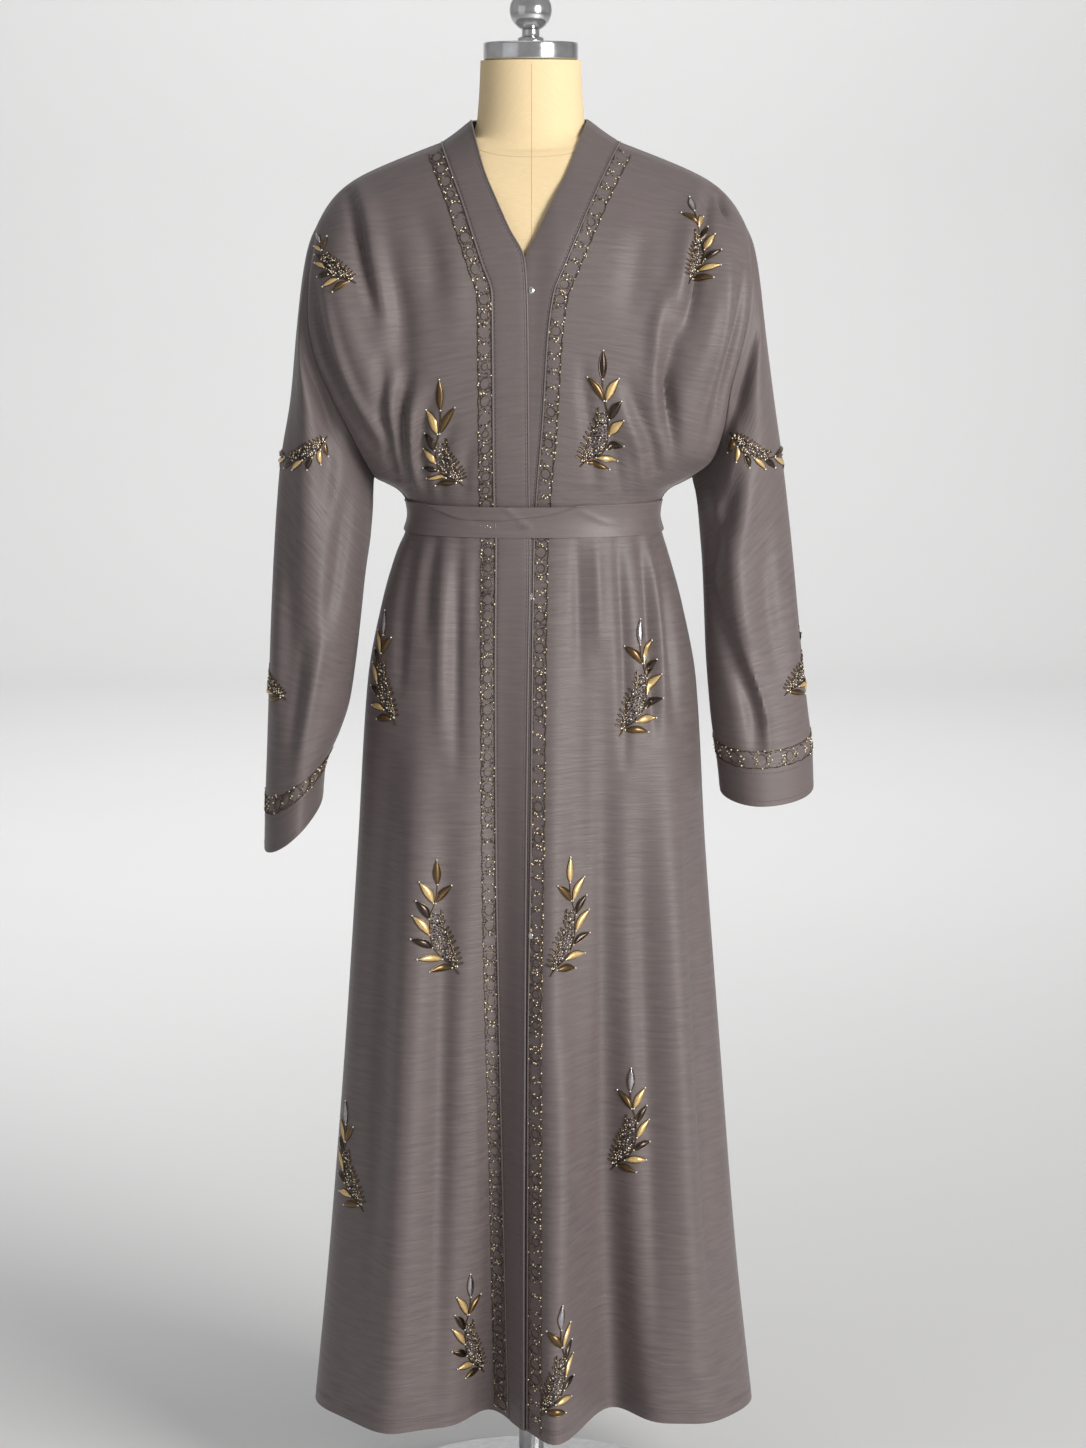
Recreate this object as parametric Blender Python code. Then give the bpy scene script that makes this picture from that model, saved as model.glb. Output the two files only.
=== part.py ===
"""Abaya cloak, belted, on a limbless dress form with its stand.

Metres, +Z up, the garment's front towards -Y, the wearer's left at +X. The origin is the middle of
the stand's underside. Every cloth piece is a wall whose outer face is a grid of points on one of
two surfaces: the body, given row by row in ROWS, and the sleeve, given ring by ring in SLEEVES.
"""
from math import pi

import bmesh
import bpy
import numpy as np
from mathutils import Vector
from mathutils.bvhtree import BVHTree
from mathutils.geometry import delaunay_2d_cdt

WALL = 0.0018             # cloth wall
SEAM = 0.0003             # gap kept where two pieces meet
SEAM_WIDE = 0.0002        # half the gap where they meet at an angle
ROUND = 2.3               # exponent of the superellipse that every row round the body follows
STEP = 1e-4               # small step for slopes
RIGHT = -1                # the wearer's right, at -X
LEFT = 1                  # the wearer's left, at +X
FRONT = -1
BACK = 1

HEM = 0.118
UNDERARM = 1.215          # the row that ends at the underarm
TOP = 1.555               # the row along the shoulder seams
NECK_SHARE = 0.42         # share of the half width where the neck bands meet the shoulder seam
NECK_DIP = 0.035          # how much lower the back's neckline starts at the middle
COLLAR_RISE = 0.012       # how far the band's free edge stands up beside the neck
COLLAR_START = 1.490
NECK_BAND_DEEP = 0.0605   # y of the neck band's free edge behind the neck
TUCK = 0.0036             # how far the left front lies behind the right one
TUCK_FULL = 0.002         # up to this x the tuck is whole
TUCK_END = 0.030
TUCK_TOP = 1.500
BELT_LOW = 1.107
BELT_HIGH = 1.141
BELT_OUT = 0.0030         # belt's outer face above the cloth's
HEM_DROP = 0.11           # a fold that stands out hangs lower by this share

# Rows round the body. height: at the middle of the row; side: at its outer end; right and left:
# half widths; front and back: depths; fold: how far the armhole's edge stands forward or back of
# the side; drop: share of the fall that lies at the outer end only.
ROWS = (
    # height side   right   left    front   back    fold    drop
    (0.118, 0.118, 0.2460, 0.2510, 0.1250, 0.1480, 0.0000, 0.00),
    (0.300, 0.300, 0.2280, 0.2310, 0.1220, 0.1400, 0.0000, 0.00),
    (0.530, 0.530, 0.2090, 0.2120, 0.1180, 0.1310, 0.0000, 0.00),
    (0.760, 0.760, 0.1930, 0.1940, 0.1140, 0.1240, 0.0000, 0.00),
    (0.940, 0.940, 0.1810, 0.1830, 0.1100, 0.1160, 0.0000, 0.00),
    (1.030, 1.030, 0.1640, 0.1660, 0.1060, 0.1080, 0.0000, 0.00),
    (1.084, 1.084, 0.1480, 0.1510, 0.1010, 0.1000, 0.0000, 0.00),
    (1.107, 1.107, 0.1380, 0.1440, 0.0975, 0.0940, 0.0000, 0.00),
    (1.124, 1.124, 0.1340, 0.1400, 0.0960, 0.0920, 0.0000, 0.00),
    (1.141, 1.141, 0.1365, 0.1425, 0.0985, 0.0940, 0.0000, 0.00),
    (1.158, 1.153, 0.1460, 0.1510, 0.1040, 0.0980, 0.0000, 0.00),
    (1.185, 1.160, 0.1590, 0.1640, 0.1110, 0.1030, 0.0000, 0.00),
    (1.215, 1.167, 0.1720, 0.1770, 0.1160, 0.1070, 0.0000, 0.00),
    (1.245, 1.187, 0.1820, 0.1985, 0.1200, 0.1100, 0.0300, 0.02),
    (1.275, 1.224, 0.1990, 0.2100, 0.1230, 0.1120, 0.0520, 0.04),
    (1.305, 1.264, 0.2180, 0.2155, 0.1245, 0.1140, 0.0640, 0.06),
    (1.335, 1.305, 0.2340, 0.2260, 0.1250, 0.1160, 0.0680, 0.08),
    (1.370, 1.345, 0.2400, 0.2345, 0.1230, 0.1170, 0.0660, 0.10),
    (1.405, 1.382, 0.2390, 0.2385, 0.1170, 0.1160, 0.0580, 0.13),
    (1.440, 1.410, 0.2355, 0.2375, 0.1070, 0.1120, 0.0460, 0.16),
    (1.475, 1.430, 0.2330, 0.2350, 0.0890, 0.1010, 0.0330, 0.20),
    (1.508, 1.441, 0.2315, 0.2330, 0.0670, 0.0800, 0.0200, 0.24),
    (1.532, 1.445, 0.2305, 0.2315, 0.0450, 0.0560, 0.0100, 0.26),
    (1.547, 1.446, 0.2300, 0.2310, 0.0240, 0.0310, 0.0040, 0.28),
    (1.555, 1.447, 0.2300, 0.2310, 0.0000, 0.0000, 0.0000, 0.28),
)
ROW_NAMES = ("height", "side", "right", "left", "front", "back", "fold", "drop")

# Skirt folds. at: place across, as a share of the half width; width: in the same share; out: how
# far the fold stands out at the hem, less than nothing for a valley.
FRONT_FOLDS = (
    # at    width  out
    (-0.66, 0.16, 0.028),
    (-0.19, 0.12, -0.052),
    (0.11, 0.13, 0.042),
    (0.36, 0.14, -0.056),
    (0.80, 0.12, 0.012),
)
BACK_FOLDS = (
    # at    width  out
    (-0.72, 0.13, 0.022),
    (-0.46, 0.12, -0.040),
    (-0.16, 0.14, 0.026),
    (0.14, 0.12, -0.046),
    (0.44, 0.14, 0.030),
    (0.70, 0.12, -0.026),
)

# Edges of the two front bands, as x. The right band's free edge shows all the way down; the left
# band's lies under it below the V.
BAND_EDGES = (
    # height  right free  right seam  left free  left seam
    (0.118, -0.0080, -0.0245, -0.0235, -0.0068),
    (0.300, -0.0078, -0.0290, -0.0300, -0.0060),
    (0.550, -0.0065, -0.0345, -0.0370, -0.0050),
    (0.770, -0.0050, -0.0380, -0.0385, -0.0012),
    (0.950, -0.0030, -0.0385, -0.0365, 0.0010),
    (1.100, -0.0010, -0.0375, -0.0345, 0.0035),
    (1.155, -0.0020, -0.0395, -0.0315, 0.0066),
    (1.235, -0.0025, -0.0400, -0.0250, 0.0130),
    (1.325, -0.0030, -0.0405, -0.0195, 0.0185),
    (1.370, -0.0040, -0.0410, -0.0140, 0.0245),
    (1.405, -0.0065, -0.0520, -0.0070, 0.0380),
    (1.440, -0.0235, -0.0630, 0.0095, 0.0520),
    (1.475, -0.0385, -0.0735, 0.0265, 0.0660),
    (1.508, -0.0515, -0.0840, 0.0420, 0.0790),
    (1.532, -0.0590, -0.0910, 0.0525, 0.0880),
    (1.547, -0.0630, -0.0950, 0.0585, 0.0940),
    (1.555, -0.0650, -0.0966, 0.0615, 0.0970),
)
EDGE_NAMES = ("height", "right_free", "right_seam", "left_free", "left_seam")

# Sleeve rings. along: 0 at the armhole, 1 at the cuff's seam, 1.15 at the cuff's edge; outer and
# inner: x and z of the two sides; deep: half depth; mid: y of the middle.
SLEEVES = {
    LEFT: (
        # along outer x  outer z  inner x  inner z  deep    mid
        (0.00, 0.2310, 1.4470, 0.1770, 1.1670, 0.050, 0.000),
        (0.05, 0.2405, 1.4250, 0.1785, 1.1600, 0.054, 0.000),
        (0.11, 0.2475, 1.3870, 0.1810, 1.1500, 0.057, 0.000),
        (0.19, 0.2550, 1.3320, 0.1835, 1.1330, 0.060, -0.002),
        (0.29, 0.2650, 1.2620, 0.1860, 1.1050, 0.062, -0.004),
        (0.40, 0.2770, 1.1800, 0.1890, 1.0680, 0.062, -0.006),
        (0.51, 0.2870, 1.0950, 0.1910, 1.0220, 0.060, -0.008),
        (0.62, 0.2950, 1.0150, 0.1930, 0.9740, 0.057, -0.010),
        (0.73, 0.3010, 0.9550, 0.1960, 0.9330, 0.054, -0.012),
        (0.84, 0.3065, 0.9100, 0.1995, 0.8970, 0.051, -0.014),
        (1.00, 0.3120, 0.8650, 0.2050, 0.8600, 0.048, -0.016),
        (1.15, 0.3135, 0.8245, 0.2095, 0.8205, 0.046, -0.017),
    ),
    RIGHT: (
        (0.00, 0.2300, 1.4470, 0.1720, 1.1670, 0.050, 0.000),
        (0.05, 0.2400, 1.4250, 0.1730, 1.1600, 0.054, 0.000),
        (0.11, 0.2480, 1.3870, 0.1735, 1.1500, 0.057, 0.000),
        (0.19, 0.2550, 1.3320, 0.1740, 1.1330, 0.060, -0.002),
        (0.29, 0.2630, 1.2560, 0.1765, 1.1020, 0.062, -0.004),
        (0.40, 0.2755, 1.1800, 0.1825, 1.0600, 0.062, -0.006),
        (0.51, 0.2825, 1.0950, 0.1880, 1.0100, 0.061, -0.008),
        (0.62, 0.2870, 1.0100, 0.1940, 0.9600, 0.059, -0.010),
        (0.73, 0.2900, 0.9350, 0.2010, 0.9170, 0.058, -0.012),
        (0.84, 0.2925, 0.8700, 0.2110, 0.8870, 0.056, -0.014),
        (1.00, 0.2955, 0.7970, 0.2270, 0.8500, 0.054, -0.016),
        (1.15, 0.2965, 0.7570, 0.2310, 0.8110, 0.053, -0.017),
    ),
}
SLEEVE_NAMES = ("along", "outer_x", "outer_z", "inner_x", "inner_z", "deep", "mid")
ARMHOLE_FADE = 0.45       # the armhole's own shape has died out this far along the sleeve
NARROW = 0.2              # cosine between two normals below which a valley is narrow
RECESS = 0.007            # depth of the hollow that runs beside the armhole
RECESS_AT = 0.07
RECESS_WIDE = 0.05
ELBOW_RIDGE = 0.007       # height of the crease that runs down the sleeve's front
CUFF_DIP = 0.014          # how much lower the cuff hangs in front than at its sides

# Leaf sprays sewn on the fronts. The stem in the spray's own plane, u towards the garment's middle
# and v up, and its leaves: share of the stem, side (1 is the middle's), lean from upright, length.
SPRAY_STEM = ((0.0, 0.0), (-0.008, 0.009), (-0.020, 0.018), (-0.029, 0.031), (-0.032, 0.047),
              (-0.032, 0.063), (-0.028, 0.076), (-0.025, 0.088), (-0.024, 0.100))
SPRAY_LEAVES = (
    (0.07, -1, 96, 0.024),
    (0.20, -1, 84, 0.024),
    (0.36, -1, 63, 0.021),
    (0.49, -1, 36, 0.025),
    (0.63, -1, 31, 0.022),
    (0.80, -1, 29, 0.026),
    (0.80, 1, 43, 0.025),
    (0.97, -1, 1, 0.026),
)
STEM_HALF = 0.0013
LEAF_HALF = 0.0036
LEAF_BOW = 0.0030
SPRAY_LIFT = 0.0006       # underside above the panel, more where the panel's facets stand up
SPRAY_CLEAR = 0.0003
SPRAY_LEAN = 0.35         # share of a place's own normal in the way that the spray is thick there
SPRAY_ASIDE = 0.5         # share kept of the sideways part of the direction that a spray is laid in
SPRAY_RAYS = (0.012, 0.050)
SPRAY_EASE = 0.12         # how fast a lifted place of a spray may come down again, along its plan
SPRAY_THICK = 0.0012
LEAF_CREST = 0.0012       # how far a leaf's middle stands above its edge
SPRAYS = (
    # name, side, tail's x and z in the front view, scale, turn in degrees
    ("spray_right_chest", RIGHT, -0.073, 1.163, 1.00, 0),
    ("spray_right_hip", RIGHT, -0.147, 0.900, 0.96, 0),
    ("spray_right_knee", RIGHT, -0.078, 0.630, 1.00, 0),
    ("spray_right_low", RIGHT, -0.190, 0.353, 0.94, 4),
    ("spray_right_hem", RIGHT, -0.053, 0.169, 0.98, 0),
    ("spray_left_chest", LEFT, 0.053, 1.185, 1.00, 0),
    ("spray_left_hip", LEFT, 0.096, 0.891, 1.00, 0),
    ("spray_left_knee", LEFT, 0.021, 0.632, 1.00, 0),
    ("spray_left_low", LEFT, 0.089, 0.403, 0.96, 0),
    ("spray_left_hem", LEFT, 0.011, 0.144, 0.98, 0),
)

# Body of the form below the neck: clearances between it and the cloth, sideways and in depth.
FORM_ROWS = (
    # height  half    gap_front gap_back
    (0.800, 0.1480, 0.0280, 0.0280),
    (0.830, 0.1590, 0.0220, 0.0210),
    (0.880, 0.1630, 0.0180, 0.0160),
    (0.940, 0.1620, 0.0150, 0.0130),
    (1.030, 0.1470, 0.0120, 0.0100),
    (1.084, 0.1330, 0.0105, 0.0085),
    (1.124, 0.1230, 0.0100, 0.0080),
    (1.158, 0.1260, 0.0105, 0.0085),
    (1.215, 0.1370, 0.0105, 0.0090),
    (1.275, 0.1490, 0.0105, 0.0090),
    (1.335, 0.1570, 0.0100, 0.0090),
    (1.405, 0.1640, 0.0095, 0.0085),
    (1.450, 0.1700, 0.0090, 0.0080),
)
# Rings over the shoulders and up the neck. half, front and back are the ring's plan; height 0
# lays the ring under the cloth, as far below its outer face as clear says.
FORM_NECK = (
    # half   front   back    height clear  round
    (0.1740, 0.0780, 0.0860, 0.0, 0.0075, 2.2),
    (0.1600, 0.0680, 0.0740, 0.0, 0.0060, 2.2),
    (0.1320, 0.0620, 0.0650, 0.0, 0.0052, 2.1),
    (0.1050, 0.0580, 0.0610, 0.0, 0.0052, 2.0),
    (0.0820, 0.0548, 0.0580, 0.0, 0.0054, 2.0),
    (0.0662, 0.0528, 0.0550, 1.536, 0.0, 2.0),
    (0.0595, 0.0535, 0.0545, 1.548, 0.0, 2.0),
    (0.0572, 0.0535, 0.0545, 1.566, 0.0, 2.0),
    (0.0555, 0.0530, 0.0540, 1.592, 0.0, 2.0),
    (0.0545, 0.0525, 0.0535, 1.617, 0.0, 2.0),
)
FORM_ROUND = 2.2
FORM_TURNS = 32

CAP_RADIUS = 0.0515
CAP_LOW = 1.6173
CAP_HIGH = 1.6370
STEM_RADIUS = 0.0095
STEM_LOW = 1.6373
BALL_RADIUS = 0.0230
BALL_MID = 1.6710
POLE_RADIUS = 0.0140
BASE_RADIUS = 0.1700
BASE_THICK = 0.0120
BASE_EDGE = 0.0030

SNAP_RADIUS = 0.0038
SNAP_THICK = 0.0008
SNAPS = (
    # name, x, height
    ("snap_top", 0.0005, 1.374),
    ("snap_middle", -0.0005, 1.045),
    ("snap_low", -0.0040, 0.675),
)

ROW_HEIGHTS = (0.118, 0.230, 0.370, 0.520, 0.670, 0.810, 0.940, 1.030, 1.080, 1.107, 1.124, 1.141,
               1.158, 1.185, 1.215, 1.245, 1.275, 1.305, 1.335, 1.370, 1.405, 1.440, 1.475, 1.508,
               1.532, 1.547, 1.555)
FRONT_COLUMNS = 13
NECK_COLUMNS = 5
SLEEVE_RINGS = (0.0, 0.03, 0.07, 0.12, 0.18, 0.25, 0.33, 0.42, 0.51, 0.61, 0.71, 0.81, 0.91, 1.0)
CUFF_RINGS = (1.0, 1.075, 1.15)


def smooth(xs, ys, x):
    """Read a monotone cubic curve through the points (xs, ys) at x."""
    xs = np.asarray(xs, float)
    ys = np.asarray(ys, float)
    gaps = np.diff(xs)
    rises = np.diff(ys) / gaps
    slopes = np.zeros_like(ys)
    product = rises[:-1] * rises[1:]
    total = np.where(product > 0, rises[:-1] + rises[1:], 1.0)
    slopes[1:-1] = np.where(product > 0, 2 * product / total, 0.0)
    slopes[0] = rises[0]
    slopes[-1] = rises[-1]
    x = np.clip(x, xs[0], xs[-1])
    i = np.clip(np.searchsorted(xs, x, side="right") - 1, 0, len(gaps) - 1)
    t = (x - xs[i]) / gaps[i]
    start = (1 + 2 * t) * (1 - t) ** 2 * ys[i] + t * (1 - t) ** 2 * gaps[i] * slopes[i]
    end = t * t * (3 - 2 * t) * ys[i + 1] + t * t * (t - 1) * gaps[i] * slopes[i + 1]
    return start + end


def read(table, names, name, x):
    """Read the named column of a table at x, which is a value of its first column."""
    columns = list(zip(*table))
    return smooth(columns[0], columns[names.index(name)], x)


def row(name, height):
    return read(ROWS, ROW_NAMES, name, height)


def edge(name, height):
    return read(BAND_EDGES, EDGE_NAMES, name, height)


def power(value, exponent):
    """Signed power, so that a superellipse can pass through all four quarters."""
    return np.sign(value) * np.abs(value) ** exponent


def ramp(x, start, end):
    """0 up to start, 1 from end on, smooth in between."""
    t = np.clip((x - start) / (end - start), 0, 1)
    return t * t * (3 - 2 * t)


def half_width(x, height):
    return np.where(x < 0, row("right", height), row("left", height))


def skirt_folds(face, share, height):
    """How far the skirt's folds stand out: nothing at the belt, growing to the hem."""
    grown = np.clip((BELT_LOW - height) / (BELT_LOW - HEM), 0, 1) ** 1.3
    out = 0.0
    for at, width, reach in FRONT_FOLDS if face == FRONT else BACK_FOLDS:
        out = out + reach * np.exp(-((share - at) / width) ** 2)
    return out * grown


def body(face, side, turn, height):
    """Point on the row at this height, turn radians from the middle towards the side."""
    half = row("left" if side == LEFT else "right", height)
    deep = row("front" if face == FRONT else "back", height)
    fold = row("fold", height)
    share = power(np.sin(turn), 2 / ROUND)
    ahead = power(np.cos(turn), 2 / ROUND)
    reach = np.abs(share)
    spread = (np.sqrt(reach ** 2 + 0.04) - 0.2) / (np.sqrt(1.04) - 0.2)
    drop = row("drop", height)
    fall = (1 - drop) * spread + drop * reach ** 12
    out = skirt_folds(face, side * share, height)
    x = side * half * share
    y = face * (fold + (deep - fold) * ahead + out)
    z = height + (row("side", height) - height) * fall - HEM_DROP * out
    if face == FRONT:
        seam = edge("left_seam" if side == LEFT else "right_seam", height)
        free = edge("left_free" if side == LEFT else "right_free", height)
        inside = np.clip((np.abs(seam) - side * x) / np.abs(seam - free), 0, 1)
        z = z + COLLAR_RISE * inside ** 1.5 * ramp(height, COLLAR_START, TOP)
    return np.stack(np.broadcast_arrays(x, y, z), axis=-1)


def unit(vectors):
    return vectors / np.linalg.norm(vectors, axis=-1, keepdims=True)


def body_facing(face, side, turn, height):
    """Outward normal of the body surface, from its two slopes."""
    low = np.minimum(height, TOP - STEP)
    across = body(face, side, turn + STEP, low) - body(face, side, turn - STEP, low)
    up = body(face, side, turn, low + STEP) - body(face, side, turn, low - STEP)
    return unit(-face * side * np.cross(across, up))


def turn_at(x, side, height):
    """The turn at which the row at this height reaches x, which may lie past the middle."""
    half = row("left" if side == LEFT else "right", height)
    return np.arcsin(power(side * x / half, ROUND / 2))


def tucked(side, turn, height):
    """Points and normals of a front; the left one sinks behind the right one near the middle."""
    points = body(FRONT, side, turn, height)
    facing = body_facing(FRONT, side, turn, height)
    if side == LEFT:
        depth = TUCK * (1 - ramp(points[..., 0], TUCK_FULL, TUCK_END))
        depth = depth * (1 - ramp(height, 1.43, TUCK_TOP))
        points = points - facing * depth[..., None]
    return points, facing


def pull(grid, line, neighbour, amount=SEAM / 2, closed=False):
    """Draw one edge line of a grid back from its seam, square to it, towards the line beside it."""
    edge_line = grid[line]
    if closed:
        along = unit(np.roll(edge_line, -1, axis=0) - np.roll(edge_line, 1, axis=0))
    else:
        along = unit(np.gradient(edge_line, axis=0))
    inwards = grid[neighbour] - edge_line
    inwards = inwards - along * np.sum(inwards * along, axis=-1, keepdims=True)
    grid[line] = edge_line + unit(inwards) * amount


def front_grid(side):
    """A front: from its band's seam to the side seam and the armhole, hem to shoulder."""
    heights = np.array(ROW_HEIGHTS)[:, None]
    name = "left_seam" if side == LEFT else "right_seam"
    start = turn_at(edge(name, heights), side, heights)
    share = np.linspace(0, 1, FRONT_COLUMNS)[None, :]
    return tucked(side, start + (pi / 2 - start) * share, heights + 0 * share)


def band_grid(side):
    """A front band: from its free edge to its seam, hem to shoulder."""
    heights = np.array(ROW_HEIGHTS)[:, None]
    sign = "left" if side == LEFT else "right"
    free = edge(sign + "_free", heights)
    seam = edge(sign + "_seam", heights)
    x = free + (seam - free) * np.linspace(0, 1, 4)[None, :]
    return tucked(side, turn_at(x, side, heights), heights + 0 * x)


def back_half(side):
    """Half of the back, from the middle outwards; its top rows dip to the neckline."""
    heights = np.array(ROW_HEIGHTS)[:, None]
    seam_turn = np.arcsin(NECK_SHARE ** (ROUND / 2))
    neck_share = NECK_SHARE * np.sin(np.linspace(0, pi / 2, NECK_COLUMNS + 1))
    neck = np.arcsin(neck_share ** (ROUND / 2))[None, :]
    outer = np.linspace(seam_turn, pi / 2, FRONT_COLUMNS)[None, 1:]
    turn = np.concatenate([neck + 0 * heights, outer + 0 * heights], axis=1)
    share = np.clip(np.sin(turn) ** (2 / ROUND) / NECK_SHARE, 0, 1)
    dip = NECK_DIP * np.sqrt(1 - share ** 2) * ramp(heights, 1.35, TOP)
    lowered = heights - dip
    return body(BACK, side, turn, lowered), body_facing(BACK, side, turn, lowered)


def back_grid():
    """The whole back, from the wearer's right side to the left one."""
    right_points, right_facing = back_half(RIGHT)
    left_points, left_facing = back_half(LEFT)
    points = np.concatenate([right_points[:, :0:-1], left_points], axis=1)
    facing = np.concatenate([right_facing[:, :0:-1], left_facing], axis=1)
    return points, facing


def sleeve_row(side, name, along):
    return read(SLEEVES[side], SLEEVE_NAMES, name, along)


def sleeve_ring(side, angle, along):
    """Oval ring of the sleeve: angle 0 outside, a quarter turn in front, half a turn inside."""
    outer = np.stack([sleeve_row(side, "outer_x", along), sleeve_row(side, "outer_z", along)])
    inner = np.stack([sleeve_row(side, "inner_x", along), sleeve_row(side, "inner_z", along)])
    deep = sleeve_row(side, "deep", along)
    middle = (outer + inner) / 2
    reach = (outer - inner) / 2
    x = side * (middle[0] + reach[0] * np.cos(angle))
    z = middle[1] + reach[1] * np.cos(angle)
    y = sleeve_row(side, "mid", along) - deep * np.sin(angle)
    points = np.stack(np.broadcast_arrays(x, y, z), axis=-1)
    crease = ELBOW_RIDGE * np.exp(-((angle - 1.9) / 0.5) ** 2) * ramp(along, 0.3, 0.6)
    points[..., 1] -= crease
    points[..., 2] -= CUFF_DIP * np.sin(angle) * ramp(along, 0.55, 1.0)
    return points


def armhole_loop(side, front, back):
    """The armhole seam as one loop: shoulder, down the front, underarm, up the back."""
    first = ROW_HEIGHTS.index(UNDERARM)
    down = front[:first - 1:-1, -1]
    up = back[first + 1:-1, -1 if side == LEFT else 0]
    return np.concatenate([down, up])


def loop_angles(side, loop):
    """Angle at which each point of the armhole loop stands on the sleeve's first ring."""
    top = loop[0]
    count = (len(loop) + 2) // 2
    low = loop[count - 1]
    axis = top - low
    share = ((loop - low) @ axis) / (axis @ axis)
    angles = np.arccos(np.clip(2 * share - 1, -1, 1))
    angles[count:] = 2 * pi - angles[count:]
    return angles


def sleeve_grid(side, loop, alongs):
    """Sleeve rings: an oval at every place along, plus the armhole's own shape, which dies out."""
    angles = loop_angles(side, loop)[None, :]
    alongs = np.asarray(alongs, float)[:, None]
    own = loop[None] - sleeve_ring(side, angles, np.zeros_like(alongs))[:1]
    fade = 1 - ramp(alongs, 0, ARMHOLE_FADE)
    grid = sleeve_ring(side, angles, alongs) + own * fade[..., None]
    hollow = RECESS * np.exp(-((alongs - RECESS_AT) / RECESS_WIDE) ** 2) * ramp(alongs, 0, 0.03)
    grid[..., 1] += hollow * power(np.sin(angles), 3)
    return grid


def ring_facing(side, grid):
    """Outward normals of a closed tube of rings, from its neighbours' points."""
    around = np.roll(grid, -1, axis=1) - np.roll(grid, 1, axis=1)
    down = np.gradient(grid, axis=0)
    return unit(side * np.cross(around, down))


def material(name, colour, roughness, metallic=0.0):
    existing = bpy.data.materials.get(name)
    if existing:
        return existing
    made = bpy.data.materials.new(name)
    made.use_nodes = True
    shader = made.node_tree.nodes["Principled BSDF"]
    shader.inputs["Base Color"].default_value = (*colour, 1)
    shader.inputs["Roughness"].default_value = roughness
    shader.inputs["Metallic"].default_value = metallic
    made.diffuse_color = (*colour, 1)
    return made


def crepe():
    return material("grey_crepe", (0.165, 0.135, 0.135), 0.62)


def linen():
    return material("form_linen", (0.85, 0.70, 0.45), 0.8)


def chrome():
    return material("polished_metal", (0.75, 0.75, 0.76), 0.15, 1.0)


def steel():
    return material("stand_metal", (0.55, 0.55, 0.56), 0.3, 1.0)


def stone():
    return material("gold_stone", (0.78, 0.52, 0.20), 0.3, 0.9)


def add_object(name, points, faces, finish):
    """Make one object of a closed mesh, its faces turned outwards."""
    mesh = bpy.data.meshes.new(name)
    mesh.from_pydata([tuple(p) for p in points], [], faces)
    shape = bmesh.new()
    shape.from_mesh(mesh)
    bmesh.ops.recalc_face_normals(shape, faces=shape.faces)
    shape.to_mesh(mesh)
    shape.free()
    mesh.shade_smooth()
    mesh.set_sharp_from_angle(angle=0.7)
    made = bpy.data.objects.new(name, mesh)
    bpy.context.collection.objects.link(made)
    made.data.materials.append(finish)
    return made


def split_quad(a, b, c, d):
    return [(a, b, c), (a, c, d)]


def wall(name, grid, facing, finish, closed=False, thick=WALL):
    """Close a grid of outer points into a cloth wall of even thickness."""
    rows, columns = grid.shape[:2]
    points = np.concatenate([grid.reshape(-1, 3), (grid - facing * thick).reshape(-1, 3)])
    inner = rows * columns
    faces = []
    last = columns if closed else columns - 1
    for r in range(rows - 1):
        for c in range(last):
            n = (c + 1) % columns
            a, b = r * columns + c, r * columns + n
            d, e = a + columns, b + columns
            faces += split_quad(a, b, e, d)
            faces += split_quad(inner + a, inner + d, inner + e, inner + b)
    for c in range(last):
        n = (c + 1) % columns
        top = (rows - 1) * columns
        faces += split_quad(c, inner + c, inner + n, n)
        faces += split_quad(top + c, top + n, inner + top + n, inner + top + c)
    if not closed:
        for r in range(rows - 1):
            for c in (0, columns - 1):
                a = r * columns + c
                faces += split_quad(a, a + columns, inner + a + columns, inner + a)
    return add_object(name, points, faces, finish)


def solid_of_rings(name, rings, finish):
    """Close a stack of rings with a flat cap at each end."""
    rows, columns = rings.shape[:2]
    faces = []
    for r in range(rows - 1):
        for c in range(columns):
            n = (c + 1) % columns
            a, b = r * columns + c, r * columns + n
            faces += split_quad(a, b, b + columns, a + columns)
    faces.append(tuple(range(columns)))
    faces.append(tuple(range((rows - 1) * columns, rows * columns)))
    return add_object(name, rings.reshape(-1, 3), faces, finish)


def turned(name, profile, segments, finish):
    """Turn a profile of (radius, z) points round the Z axis; end radii of 0 close to a point."""
    faces = []
    points = []
    rings = []
    angles = np.arange(segments) * 2 * pi / segments
    for radius, z in profile:
        if radius == 0:
            rings.append([len(points)] * segments)
            points.append((0.0, 0.0, z))
        else:
            rings.append(list(range(len(points), len(points) + segments)))
            points += [(radius * np.cos(a), radius * np.sin(a), z) for a in angles]
    for low, high in zip(rings, rings[1:]):
        for c in range(segments):
            n = (c + 1) % segments
            corners = [low[c], low[n], high[n], high[c]]
            faces.append(tuple(dict.fromkeys(corners)))
    if profile[0][0]:
        faces.append(tuple(rings[0]))
    if profile[-1][0]:
        faces.append(tuple(rings[-1]))
    return add_object(name, points, faces, finish)


def under_cloth(x, y):
    """Height of the cloth over the plan point (x, y) of the shoulders."""
    face = FRONT if y < 0 else BACK
    side = LEFT if x >= 0 else RIGHT
    heights = np.linspace(1.30, TOP, 300)
    share = np.minimum(abs(x) / row("left" if side == LEFT else "right", heights), 0.999)
    points = body(face, side, np.arcsin(share ** (ROUND / 2)), heights)
    depths = np.abs(points[:, 1])
    order = np.argsort(depths)
    return float(np.interp(abs(y), depths[order], points[order, 2]))


def plan_ring(half, front, back, roundness):
    """Plan of one ring of the form, starting at the front."""
    turns = np.arange(FORM_TURNS) * 2 * pi / FORM_TURNS
    ahead = power(np.cos(turns), 2 / roundness)
    x = half * power(np.sin(turns), 2 / roundness)
    return x, np.where(ahead > 0, -front * ahead, -back * ahead)


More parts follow.
